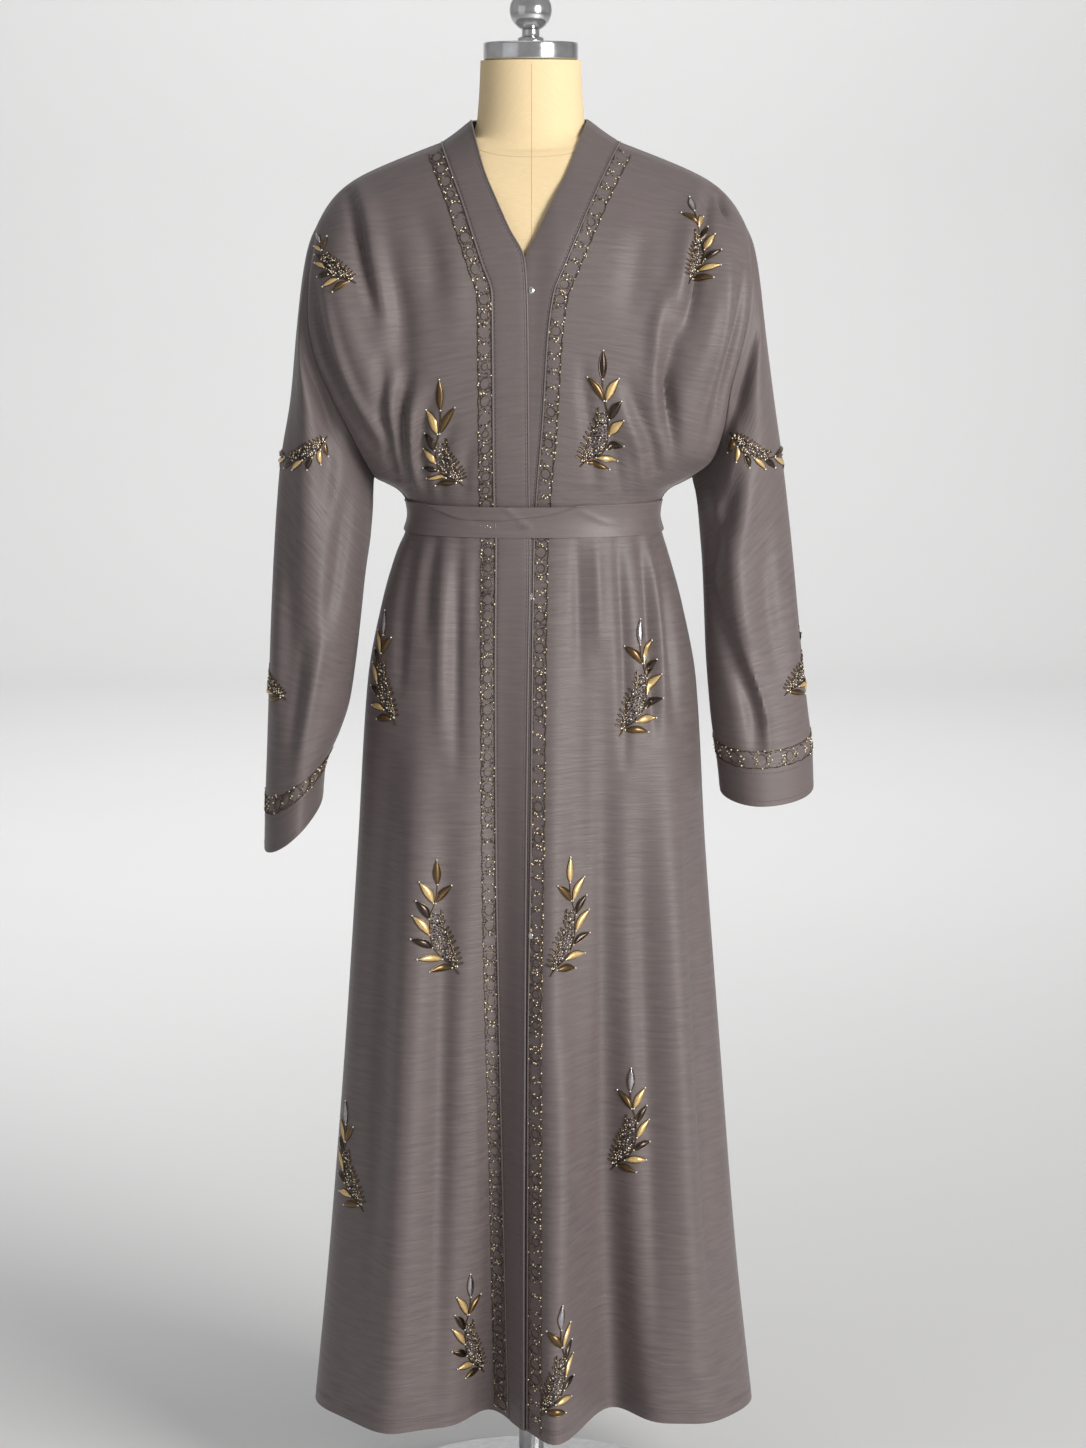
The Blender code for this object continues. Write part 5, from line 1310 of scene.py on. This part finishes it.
class TieBelt(Operator):
    """Wind the tie belt round the waist, its two layers crossing in front"""
    bl_idname = "abaya.tie_belt"
    bl_label = "Tie belt"

    def execute(self, context):
        heights = np.linspace(BELT_LOW, BELT_HIGH, 48)[:, None]
        quarter = np.linspace(0, pi / 2, 64)
        upper = line_through(BELT_LAYER, 60)
        parts = []
        for face, side, turn in ((FRONT, LEFT, quarter), (BACK, LEFT, quarter[::-1]),
                                 (BACK, RIGHT, quarter), (FRONT, RIGHT, quarter[::-1])):
            height, turn = np.broadcast_arrays(heights, turn[None, :-1])
            points = body(face, side, turn, height)
            out = BELT_OUT + 0 * height
            if face == FRONT:
                brink = np.interp(points[..., 0], *upper.T, left=BELT_HIGH, right=BELT_HIGH)
                out = out + BELT_STEP * (ramp(height - brink, -0.0007, 0.0007) - 0.5)
                for line, width, depth in BELT_CREASES:
                    gap = near_line(points[..., 0], height, line)[0]
                    out = out + depth * np.exp(-(gap / width) ** 2)
            else:
                up = np.sin(pi * (height - BELT_LOW) / (BELT_HIGH - BELT_LOW))
                ripple = np.sin(26 * turn + 3.0 * side) * up
                out = out + 0.0004 * ripple * np.cos(9 * turn)
            parts.append(points + body_facing(face, side, turn, height) * out[..., None])
        grid = np.concatenate(parts, axis=1)
        outward = grid * np.array((1.0, 1.0, 0.0))
        finish = crepe("belt_crepe", 1.02, lines=False, smoothness=0.44)
        piece = cloth("wound_belt", grid, outward, finish, closed=True, thick=BELT_WALL)
        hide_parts("belt")
        cut(grid, closed=True)
        return {"FINISHED"}


def plan_ring(half, front, back, roundness):
    """Plan of one ring of the form: a superellipse, deeper behind than in front."""
    turns = np.arange(FORM_TURNS) * 2 * pi / FORM_TURNS
    ahead = power(np.cos(turns), 2 / roundness)
    x = half * power(np.sin(turns), 2 / roundness)
    return x, np.where(ahead > 0, -front * ahead, -back * ahead)


def under_cloth(x, y):
    """Height of the cloth over a plan point (x, y) of the shoulders, read off its row surface."""
    face = FRONT if y < 0 else BACK
    side = LEFT if x >= 0 else RIGHT
    heights = np.linspace(1.30, TOP, 300)
    share = np.minimum(abs(x) / row(SIDE_NAMES[side], heights), 0.999)
    points = body(face, side, np.arcsin(share ** (ROUND / 2)), heights)
    depths = np.abs(points[:, 1])
    order = np.argsort(depths)
    return float(np.interp(abs(y), depths[order], points[order, 2]))


def form_rings(between=4):
    """Rings of the torso on cubics through the solid's own, slope (next - last) / 2 at each."""
    rings = []
    for height, half, gap_front, gap_back in FORM_ROWS:
        front = row("front", height) - gap_front
        back = row("back", height) - gap_back
        x, y = plan_ring(half, front, back, FORM_ROUND)
        reach = np.abs(x) / np.where(x < 0, row("right", height), row("left", height))
        z = height + (row("side", height) - height) * rounded_v(reach)
        rings.append(np.stack([x, y, z], axis=-1))
    for half, front, back, height, clear, roundness in FORM_NECK:
        x, y = plan_ring(half, front, back, roundness)
        if height:
            z = np.full(FORM_TURNS, height)
        else:
            z = np.array([under_cloth(px, py) - clear for px, py in zip(x, y)])
        rings.append(np.stack([x, y, z], axis=-1))
    rings = np.array(rings)
    at = np.linspace(0, len(rings) - 1, (len(rings) - 1) * between + 1)
    flat = rings.reshape(len(rings), -1)
    low = np.clip(at.astype(int), 0, len(rings) - 2)
    t = (at - low)[:, None]
    before = flat[np.maximum(low - 1, 0)]
    after = flat[np.minimum(low + 2, len(rings) - 1)]
    a, b = flat[low], flat[low + 1]
    bend = 2 * before - 5 * a + 4 * b - after
    curve = a + 0.5 * t * (b - before + t * (bend + t * (3 * (a - b) + after - before)))
    return curve.reshape(len(at), FORM_TURNS, 3)


def capped_rings(name, rings, finish):
    """A closed skin over stacked rings, with its weave's (u, v) in metres and flat ends."""
    rows, columns = rings.shape[:2]
    around = np.concatenate([rings, rings[:, :1]], axis=1)
    place = np.stack([run_lengths(around, 1), run_lengths(around, 0)], axis=-1)
    r, c = quads(rows, columns, closed=True)
    ends = np.stack([np.arange(columns)[::-1], (rows - 1) * columns + np.arange(columns)])
    faces = [r * columns + c % columns, ends]
    return add_piece(name, rings, faces, finish, [place[r, c], rings.reshape(-1, 3)[ends][..., :2]])


def turned(name, profile, segments, finish):
    """Turn a profile of (radius, z) round the Z axis: x = r cos a, y = r sin a."""
    profile = np.asarray(profile, float)
    angles = np.arange(segments) * 2 * pi / segments
    rings = np.stack([profile[:, :1] * np.cos(angles), profile[:, :1] * np.sin(angles),
                      profile[:, 1:] + 0 * angles], axis=-1)
    return capped_rings(name, rings, finish)


def spray_parts(spray):
    """One spray: leaf stones by kind, the threads of stem, settings, petals and seeds, and beads."""
    rng = np.random.default_rng(SPRAY_SEED)
    stem = line_through(SPRAY_STEM, 40)
    fan = line_through(SPRAY_FAN, 26)
    s, across, high = leaf_plan()
    leaves, tips = [], []
    for share, side, lean, length, stone in SPRAY_LEAVES:
        root = stem[int(round(share * (len(stem) - 1)))]
        ahead = np.array((side * np.sin(radians(lean)), np.cos(radians(lean))))
        beside = np.array((ahead[1], -ahead[0])) * side
        root = root + ahead * LEAF_ROOT
        bow = across if lean > 5 else across - LEAF_BOW * np.sin(pi * s)
        leaves.append(root + ahead * (s * length)[..., None] - beside * bow[..., None])
        tips.append(root + ahead * (length + 0.0010))
        tips.append(root - ahead * 0.0006)
    leaves = np.array(leaves)
    middle = leaves.mean(axis=(1, 2), keepdims=True)
    rims = np.concatenate([leaves[:, :, 0], leaves[:, -2:0:-1, -1]], axis=1)
    rims = rims + unit(rims - middle[:, 0]) * RIM_OUT
    around = np.linspace(0, 2 * pi, 12, endpoint=False)
    lean = np.radians(66 - 5 * np.arange(PETALS)[:, None])
    roots = fan[(np.linspace(0.0, 0.90, PETALS) * (len(fan) - 1)).astype(int)]
    reach = 0.0034 - 0.0012 * np.abs(np.linspace(0, 1, PETALS)[:, None] - 0.35)
    ahead = np.stack([np.sin(lean), np.cos(lean)], axis=-1)
    beside = np.stack([np.cos(lean), -np.sin(lean)], axis=-1)
    petals = (roots[:, None] + ahead * (0.0012 + reach + np.cos(around) * reach)[..., None]
              + beside * (np.sin(around) * 0.0010)[:, None])
    along = np.linspace(0.05, 0.72, DASH_ROWS)
    a = stem[(along * (len(stem) - 1)).astype(int)][:, None]
    b = fan[(np.minimum(along * 1.25, 0.98) * (len(fan) - 1)).astype(int)][:, None]
    seeds = a + (b - a) * np.linspace(0.10, 0.93, DASH_COLUMNS)[None, :, None]
    seeds = seeds.reshape(-1, 2) + 0.00050 * rng.standard_normal((DASH_ROWS * DASH_COLUMNS, 2))
    seeds = seeds[rng.random(len(seeds)) < 0.86]
    lean = rng.normal(-0.65, 0.35, len(seeds))
    dash = DASH_HALF * np.stack([np.sin(lean), np.cos(lean)], axis=-1)
    grains = rng.random(len(seeds)) < 0.20
    dashes = np.stack([seeds - dash, seeds + dash], axis=1)[~grains]
    sown = np.concatenate([seeds[grains], fan[2::3] + (0.0014, 0.0)])
    pearls = np.concatenate([np.array(tips), seeds[~grains][3::23] + 0.0004])
    plans = [leaves, rims, stem[None], fan[None], petals, dashes, pearls, sown]
    tops, rims, stem, fan, petals, dashes, tips, sown = lay_all(spray, plans)
    stones = {}
    for k, leaf in enumerate(SPRAY_LEAVES):
        stone = TOP_STONES.get(spray[0], "silver") if k == len(SPRAY_LEAVES) - 1 else leaf[-1]
        plan, facing = tops[0][k:k + 1], tops[1][k:k + 1]
        top = plan + facing * (high + 0.0004)[..., None]
        stones.setdefault(stone, []).append(shells(top, plan - facing * 0.0001))
    threads = [tubes(rims[0] + rims[1] * 0.0007, rims[1], RIM_THREAD, 5, closed=True)]
    for line in (stem, fan):
        threads.append(tubes(line[0] + line[1] * 0.0006, line[1], STEM_THREAD, 6))
    threads.append(tubes(petals[0] + petals[1] * 0.0005, petals[1], PETAL_THREAD, 5, closed=True))
    darker = [tubes(dashes[0] + dashes[1] * 0.0005, dashes[1], DASH_THREAD, 4)]
    pale = beads(tips[0] + tips[1] * PEARL, PEARL)
    gold = beads(sown[0] + sown[1] * 0.0009, SOWN_BEAD)
    return stones, threads, darker, pale, gold


class SetSprays(Operator):
    """Sew on the leaf sprays: leaf stones in settings, couched stems, petals and beads"""
    bl_idname = "abaya.set_sprays"
    bl_label = "Leaf sprays"

    def execute(self, context):
        finishes = {
            "gold": metal("gold_stone", colours().gold, 0.30, 0.14, 500.0, 0.6),
            "bronze": metal("bronze_stone", colours().bronze, 0.32, 0.14, 700.0),
            "dark": metal("dark_stone", colours().dark, 0.26, 0.10, 500.0),
            "silver": metal("silver_stone", colours().silver, 0.24, 0.10, 500.0)}
        pale_bead = metal("pale_bead", (0.90, 0.86, 0.78), 0.16, 0.06, 900.0, 0.3)
        gold_bead = metal("gold_bead", colours().pale_gold, 0.20, 0.08, 900.0, 0.5)
        dark_thread = metal("dark_thread", colours().dark, 0.34, 0.14, 1400.0)
        for spray in SPRAYS:
            stones, threads, darker, pale, gold = spray_parts(spray)
            groups = [(finishes[stone], parts) for stone, parts in stones.items()]
            groups += [(thread_finish(), threads), (dark_thread, darker), (pale_bead, [pale]),
                       (gold_bead, [gold])]
            piece = mixed_piece(spray[0], groups)
            if spray[0].startswith("sewn_"):
                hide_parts(spray[0][len("sewn_"):])
        return {"FINISHED"}


def thread_finish():
    """The couched threads' finish, made once."""
    made = bpy.data.materials.get("bronze_thread")
    return made or metal("bronze_thread", colours().thread, 0.42, 0.16, 1400.0)


def strip_plan(length, seed, dense):
    """A strip's cords and beads in its own plane: s across it, t along it.

    Ovals OVAL_WIDE cos a, OVAL_LONG sin a stand a repeat apart, with the cloth open inside them. Dark
    beads fill the lozenges between them, single ones run down both waved edges, and gold ones sit in
    every lozenge and along the outer edge. A dense strip leaves out fewer.
    """
    count = int(length / TRIM_REPEAT)
    rng = np.random.default_rng(seed)
    middle = ((np.arange(count) + 0.5) * length / count)[:, None]
    wide = TRIM_WIDE / 2
    size = 1 + 0.10 * rng.standard_normal(count)[:, None]
    around = np.linspace(0, 2 * pi, 14, endpoint=False)
    rings = np.stack([wide + OVAL_WIDE * size * np.cos(around),
                      middle + OVAL_LONG * size * np.sin(around)], axis=-1)
    rings = rings[rng.random(count) < (0.75 if dense else 0.45)]
    step = length / count / 2
    t = np.linspace(0, length, count * 8)
    edges = [np.stack([at + TRIM_WAVE * np.cos(pi * t / step + phase), t], axis=-1)
             for at, phase in ((TRIM_MARGIN, 0.0), (TRIM_WIDE - TRIM_MARGIN, pi))]
    sown = np.stack([rng.uniform(0.0012, TRIM_WIDE - 0.0012, count * SOWN_EACH),
                     rng.uniform(0, length, count * SOWN_EACH)], axis=-1)
    nearest = middle[np.clip((sown[:, 1] / (2 * step)).astype(int), 0, count - 1), 0]
    off = np.hypot((sown[:, 0] - wide) / OPEN_WIDE, (sown[:, 1] - nearest) / OPEN_LONG)
    keep = (off > 1) & (rng.random(len(sown)) < (0.95 if dense else 0.55))
    dark = [sown[keep]]
    for at in (TRIM_MARGIN, TRIM_WIDE - TRIM_MARGIN):
        t = np.arange(0.002, length - 0.002, 0.0030)
        dark.append(np.stack([at + 0 * t, t], axis=-1))
    dark = np.concatenate(dark)
    drift = 0.00030 * rng.standard_normal(len(dark))
    dark[:, 0] = np.clip(dark[:, 0] + drift, 0.0008, TRIM_WIDE - 0.0004)
    gold = [np.stack([wide + du + 0 * middle, middle + step + dv], axis=-1).reshape(-1, 2)
            for du, dv in ((0.0, 0.0018), (0.0024, -0.0004), (-0.0024, 0.0006), (0.0004, -0.0026))]
    t = np.arange(0.004, length - 0.004, 0.0085)
    gold.append(np.stack([TRIM_WIDE - 0.0016 + 0 * t, t], axis=-1))
    gold = np.concatenate(gold)
    gold = gold + 0.0008 * rng.standard_normal(gold.shape)
    gold = gold[rng.random(len(gold)) < (0.46 if dense else 0.70)]
    gold = np.concatenate([gold, dark[4::24]])
    inner = [dots[(dots[:, 1] < length - 0.002) & (dots[:, 1] > 0.002)] for dots in (dark, gold)]
    return rings, edges, inner


def couch(find, length, seed, dense):
    """Lay one strip with find(s, t) and return its cords, its dark beads and its gold ones."""
    rings, edges, dots = strip_plan(length, seed, dense)
    points, facing = find(rings[..., 0], rings[..., 1])
    cord = sizes().cord_radius
    cords = [tubes(points + facing * TRIM_LIFT, facing, cord, 5, closed=True)]
    for line in edges:
        points, facing = find(line[:, 0], line[:, 1])
        cords.append(tubes((points + facing * TRIM_LIFT)[None], facing[None], cord, 5))
    found = [find(group[:, 0], group[:, 1]) for group in dots]
    glint = sizes().bead_radius * (0.7 + 0.4 * np.random.default_rng(seed).random((len(dots[1]), 1)))
    dark, gold = [beads(points + facing * 0.7 * radius, np.ravel(radius))
                  for (points, facing), radius in zip(found, (sizes().seed_radius, glint))]
    return cords, dark, gold


def seam_offset(side, s, t, start):
    """Place at distance s outwards from a band's seam, square to it, and t above start."""
    seam = SIDE_NAMES[side] + "_seam"
    height = start + t
    slope = (edge(seam, height + STEP) - edge(seam, height - STEP)) / (2 * STEP)
    steep = np.sqrt(1 + slope ** 2)
    return edge(seam, height) + side * s / steep, height - side * s * slope / steep


class CouchTrims(Operator):
    """Couch the strips of cord and beads beside the front bands and above the cuffs"""
    bl_idname = "abaya.couch_trims"
    bl_label = "Couched strips"

    def execute(self, context):
        parts = ([], [], [])
        for side, seed in ((RIGHT, 3), (LEFT, 5)):
            def on_front(s, t, side=side):
                x, height = seam_offset(side, s, t, HEM + 0.004)
                return normals_of(front_by_x(side), x, np.minimum(height, TOP - 0.003))

            def on_sleeve(s, t, side=side):
                around = 2 * pi * t / CUFF_ROUND
                knots = np.linspace(0.994, 0.70, 60)
                lengths = run_lengths(sleeve_form(side, around.reshape(-1, 1), knots), 1)
                along = run_along(lengths, knots, CUFF_TRIM * s.ravel()).reshape(s.shape)
                here = sleeve_skin(side, around, along)
                facing = np.cross(sleeve_skin(side, around + 0.001, along) - here,
                                  sleeve_skin(side, around, along + 0.001) - here)
                return here, unit(facing * side)

            strips = ((on_front, TOP - HEM - 0.012, seed), (on_sleeve, CUFF_ROUND, seed + 10))
            for find, length, start in strips:
                cords, dark, gold = couch(find, length, start, dense=side == RIGHT)
                parts[0].extend(cords)
                parts[1].append(dark)
                parts[2].append(gold)
        bead = metal("strip_bead", colours().pale_gold, 0.18, 0.10, 900.0, 0.45)
        seed_bead = metal("seed_bead", colours().seed, 0.30, 0.12, 900.0, 0.5)
        names = ("strip_cords", "strip_seeds", "strip_beads")
        for name, group, finish in zip(names, parts, (thread_finish(), seed_bead, bead)):
            piece = add_piece(name, *joined(group), finish)
        return {"FINISHED"}


def stitches(path, facing, pitch=0.0046, length=0.0034, radius=0.00024):
    """A row of stitches on a path: short cords a pitch apart by the path's own length."""
    places = run_lengths(path, 0)
    starts = np.arange(pitch / 2, places[-1] - length, pitch)[:, None]
    at = starts + np.array((0.0, 0.5, 1.0)) * length
    arch = np.array((-0.5, 1.0, -0.5)) * radius
    points = np.stack([np.interp(at, places, column) for column in path.T], axis=-1)
    normals = np.stack([np.interp(at, places, column) for column in facing.T], axis=-1)
    return tubes(points + normals * arch[:, None], normals, radius, 4)


def at_height(rings, goal):
    """Points of stacked rings where each column reaches its goal height, by straight interpolation."""
    low = np.clip(np.sum(rings[..., 2] < goal, axis=0) - 1, 0, len(rings) - 2)
    columns = np.arange(rings.shape[1])
    a, b = rings[low, columns], rings[low + 1, columns]
    return a + (b - a) * ((goal - a[:, 2]) / (b[:, 2] - a[:, 2]))[:, None]


class RunEdges(Operator):
    """Run the piping along the bands and the stitches along the bands, hem, cuffs and form"""
    bl_idname = "abaya.run_edges"
    bl_label = "Piping and stitches"

    def execute(self, context):
        cords, rows = [], []
        heights = np.linspace(HEM + 0.001, TOP - 0.0005, PIPE_COUNT)
        for side, name, lift, stitched in ((RIGHT, "right_seam", 0.0006, -0.0028),
                                           (LEFT, "left_seam", 0.0006, -0.0028),
                                           (RIGHT, "right_free", 0.0002, 0.0030)):
            points, facing = normals_of(front_by_x(side), edge(name, heights), heights)
            cords.append(tubes((points + facing * lift)[None], facing[None], PIPING, 8))
            beside = edge(name, heights) + side * stitched
            points, facing = normals_of(front_by_x(side), beside, heights)
            rows.append(stitches(points + facing * STITCH_LIFT, facing))
        piece = add_piece("band_piping", *joined(cords), crepe_plain())
        for side in (RIGHT, LEFT):
            for above in HEM_STITCHES:
                height = np.full(240, HEM + above)
                start = turn_at(edge(SIDE_NAMES[side] + "_seam", HEM), side, HEM)
                turn = start + (pi / 2 - start) * np.linspace(0, 0.985, 240)
                rows.append(stitches(*normals_of(lambda a, b: front_skin(side, a, b), turn, height)))
                turn = np.linspace(0.002, pi / 2 - 0.01, 240)
                points, facing = normals_of(lambda a, b: back_skin(side, a, b), turn, height)
                rows.append(stitches(points, -facing))
            for along in CUFF_STITCHES:
                angle = np.linspace(0, 2 * pi, 200)
                points = sleeve_skin(side, angle, np.full(200, along))
                rows.append(stitches(points, placed(side * np.cos(angle), -np.sin(angle), 0 * angle)))
        piece = add_piece("seam_stitches", *joined(rows), crepe_plain("stitch_thread", 0.55))
        rings = form_rings()
        around = np.arange(FORM_TURNS) * 2 * pi / FORM_TURNS
        line = at_height(rings, NECK_SEAM + NECK_SEAM_RISE * np.sin(around) ** 2)
        normal = unit(line * np.array((1.0, 1.0, 0.0)) + np.array((0.0, 0.0, 0.02)))
        cords = [tubes(line[None], normal[None], 0.00040, 6, closed=True)]
        upright = rings[:, 0][rings[:, 0, 2] > 1.30][:-1]
        normal = np.broadcast_to(np.array((0.0, -0.94, 0.34)), upright.shape)
        cords.append(tubes(upright[None] + (0.0012, 0.0, 0.0), normal[None], 0.00035, 6))
        piece = add_piece("form_seams", *joined(cords), seam_finish())
        return {"FINISHED"}


class SetSnaps(Operator):
    """Set the three snap studs between the bands: domes SNAP_HIGH sin a high, SNAP_RADIUS cos a wide"""
    bl_idname = "abaya.set_snaps"
    bl_label = "Snap studs"

    def execute(self, context):
        chrome = metal("snap_metal", (0.80, 0.78, 0.75), 0.16, 0.08, 300.0)
        for name in ("snap_top", "snap_middle", "snap_low"):
            low, high = np.array(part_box(name))
            middle = (low + high) / 2
            place, facing = normals_of(front_by_x(LEFT), middle[None, 0], middle[None, 2])
            across = unit(np.cross(facing, np.array((0.0, 0.0, 1.0))))
            up = np.cross(across, facing)
            a = np.linspace(0, pi / 2 - 0.02, 8)[:, None, None]
            around = (np.arange(24) * 2 * pi / 24)[None, :, None]
            rings = place + facing * (0.0004 + SNAP_HIGH * np.sin(a)) + SNAP_RADIUS * np.cos(a) * (
                across * np.cos(around) + up * np.sin(around))
            ring = across * np.cos(around[0]) + up * np.sin(around[0])
            rim = place - facing * 0.0002 + SNAP_RADIUS * ring
            piece = capped_rings("stud_" + name, np.concatenate([rim[None], rings]), chrome)
            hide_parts(name)
        return {"FINISHED"}


def drifting(name, base, low, high, grain, links):
    """A finish whose tone drifts from base * low to base * high over a noise of this grain; links
    are the shader's other sockets and their values."""
    made, tree = new_material(name)
    place = add_node(tree, "ShaderNodeTexCoord").outputs["Object"]
    drift = add_node(tree, "ShaderNodeTexNoise", [("Vector", place), ("Scale", grain), ("Detail", 2.0)])
    tone = toned(tree, drift.outputs["Fac"], base, low, high)
    shader = add_node(tree, "ShaderNodeBsdfPrincipled", [("Base Color", tone), *links])
    finish_surface(tree, shader)
    return made


def seam_finish():
    """The form's seams: linen a little darker, its tone drifting along the thread."""
    return drifting("linen_seam", colours().linen, 0.60, 0.86, 700.0, [("Roughness", 0.85)])


def crepe_plain(name="piping_crepe", tint=1.0):
    """The same cloth on a thin cord, where its grain reads as a fine rib along the length."""
    base = np.array(colours().crepe) * tint
    return drifting(name, base, 0.85, 1.25, 900.0, [("Roughness", 0.42), ("Sheen Weight", 0.2)])


class DressForm(Operator):
    """Cover the torso with linen and set the cap, the finial and the stand"""
    bl_idname = "abaya.dress_form"
    bl_label = "Dress form and stand"

    def execute(self, context):
        piece = capped_rings("linen_torso", form_rings(), linen())
        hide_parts("form_torso")
        chrome = metal("polished_metal", (0.72, 0.72, 0.73), 0.14, 0.06, 60.0)
        steel = metal("stand_metal", (0.50, 0.50, 0.51), 0.30, 0.10, 90.0)
        corner = np.linspace(0, pi / 2, 6)
        low, high, radius, bevel = 1.6173, 1.6370, 0.0515, 0.0028
        inner = radius - bevel
        profile = [(inner + bevel * np.sin(a), low + bevel - bevel * np.cos(a)) for a in corner]
        profile += [(inner + bevel * np.cos(a), high - bevel + bevel * np.sin(a)) for a in corner]
        piece = turned("turned_cap", profile, 96, chrome)
        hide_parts("form_neck_cap")
        ball, stem, middle = 0.0230, 0.0095, 1.6710
        start = pi - np.arcsin(stem / ball)
        profile = [(0.0142, 1.6373), (0.0142, 1.6405), (0.0128, 1.6420), (0.0100, 1.6428), (stem, 1.6440)]
        profile += [(max(ball * np.sin(a), 1e-4), middle + ball * np.cos(a))
                    for a in np.linspace(start, 0.004, 30)]
        piece = turned("turned_finial", profile, 64, chrome)
        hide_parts("form_finial")
        for node in ("stand_pole", "stand_base"):
            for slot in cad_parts[node].material_slots:
                slot.material = steel
        return {"FINISHED"}


class SetStage(Operator):
    """Set the pale floor and backdrop, the soft lights and the camera"""
    bl_idname = "abaya.set_stage"
    bl_label = "Stage, lights and camera"

    def execute(self, context):
        scene = context.scene
        made = drifting("pale_floor", colours().floor, 0.985, 1.01, 1.5, [
            ("Roughness", 0.9), ("Specular IOR Level", 0.1)])
        turn = np.linspace(0, pi / 2, 24)
        depth = np.concatenate([[FLOOR_FRONT], FLOOR_BACK + SWEEP * np.sin(turn), [FLOOR_BACK + SWEEP]])
        curve = SWEEP - FLOOR_DROP - SWEEP * np.cos(turn)
        rise = np.concatenate([[-FLOOR_DROP], curve, [BACKDROP_TOP]])
        x = np.array((-HALF_FLOOR, HALF_FLOOR))
        grid = placed(x[None, :], depth[:, None], rise[:, None])
        r, c = quads(*grid.shape[:2])
        mesh = bpy.data.meshes.new("pale_floor")
        mesh.from_pydata(grid.reshape(-1, 3).tolist(), [], (r * 2 + c).tolist())
        mesh.shade_smooth()
        mesh.materials.append(made)
        floor = bpy.data.objects.new("pale_floor", mesh)
        context.collection.objects.link(floor)
        for name, place, turn, size, watts, tint in (
                ("key", (2.6, -3.0, 1.9), (75.8, 0, 40.9), 1.7, 165, (1.0, 0.985, 0.96)),
                ("fill", (-3.2, -2.6, 1.6), (78, 0, -52), 3.0, 7, (0.95, 0.97, 1.0)),
                ("top", (0.0, 0.2, 4.2), (2, 0, 0), 3.0, 10, (1.0, 1.0, 1.0)),
                ("behind", (-1.2, 2.2, 3.2), (-46, 0, 170), 3.4, 64, (1.0, 1.0, 1.0)),
                ("far", (0.0, 4.6, 4.6), (-48.9, 0, 180), 4.0, 155, (1.0, 1.0, 1.0))):
            light = bpy.data.lights.new(name, "AREA")
            light.shape = "SQUARE"
            light.size = size
            light.energy = watts
            light.color = tint
            lamp = bpy.data.objects.new(name, light)
            lamp.location = place
            lamp.rotation_euler = [radians(a) for a in turn]
            context.collection.objects.link(lamp)
        world = bpy.data.worlds.new("studio")
        world.use_nodes = True
        studio = world.node_tree.nodes["Background"].inputs
        studio["Color"].default_value = (1.0, 1.0, 1.0, 1)
        studio["Strength"].default_value = 0.32
        scene.world = world
        scene.view_settings.view_transform = "Standard"
        camera = bpy.data.cameras.new("camera")
        camera.lens = LENS
        camera.sensor_fit = "AUTO"
        camera.sensor_width = 36.0
        camera.dof.use_dof = False
        camera.clip_end = 60.0
        eye = bpy.data.objects.new("camera", camera)
        eye.location = EYE
        eye.rotation_euler = (radians(EYE_TILT), 0.0, 0.0)
        context.collection.objects.link(eye)
        scene.camera = eye
        return {"FINISHED"}


class AbayaPanel(Panel):
    """Lists the steps that dress the form"""
    bl_idname = "VIEW3D_PT_abaya"
    bl_label = "Abaya cloak"
    bl_space_type = "VIEW_3D"
    bl_region_type = "UI"
    bl_category = "Abaya"

    def draw(self, context):
        column = self.layout.column()
        for step in STEPS:
            column.operator(step.bl_idname)
        for group in (sizes(), colours()):
            for name in group.bl_rna.properties.keys():
                if name not in ("rna_type", "name"):
                    column.prop(group, name)


STEPS = (SetStage, CutBody, SewBands, HangSleeves, TieBelt, SetSprays, CouchTrims, RunEdges,
         SetSnaps, DressForm)


def register():
    for kind in (AbayaSizes, AbayaColours, *STEPS, AbayaPanel):
        bpy.utils.register_class(kind)
    bpy.types.Scene.abaya_sizes = PointerProperty(type=AbayaSizes)
    bpy.types.Scene.abaya_colours = PointerProperty(type=AbayaColours)


def unregister():
    del bpy.types.Scene.abaya_sizes
    del bpy.types.Scene.abaya_colours
    for kind in reversed((AbayaSizes, AbayaColours, *STEPS, AbayaPanel)):
        bpy.utils.unregister_class(kind)


def main():
    register()
    bpy.ops.abaya.set_stage()
    bpy.ops.abaya.cut_body()
    bpy.ops.abaya.sew_bands()
    bpy.ops.abaya.hang_sleeves()
    bpy.ops.abaya.tie_belt()
    bpy.ops.abaya.set_sprays()
    bpy.ops.abaya.couch_trims()
    bpy.ops.abaya.run_edges()
    bpy.ops.abaya.set_snaps()
    bpy.ops.abaya.dress_form()


if __name__ == "__main__":
    main()
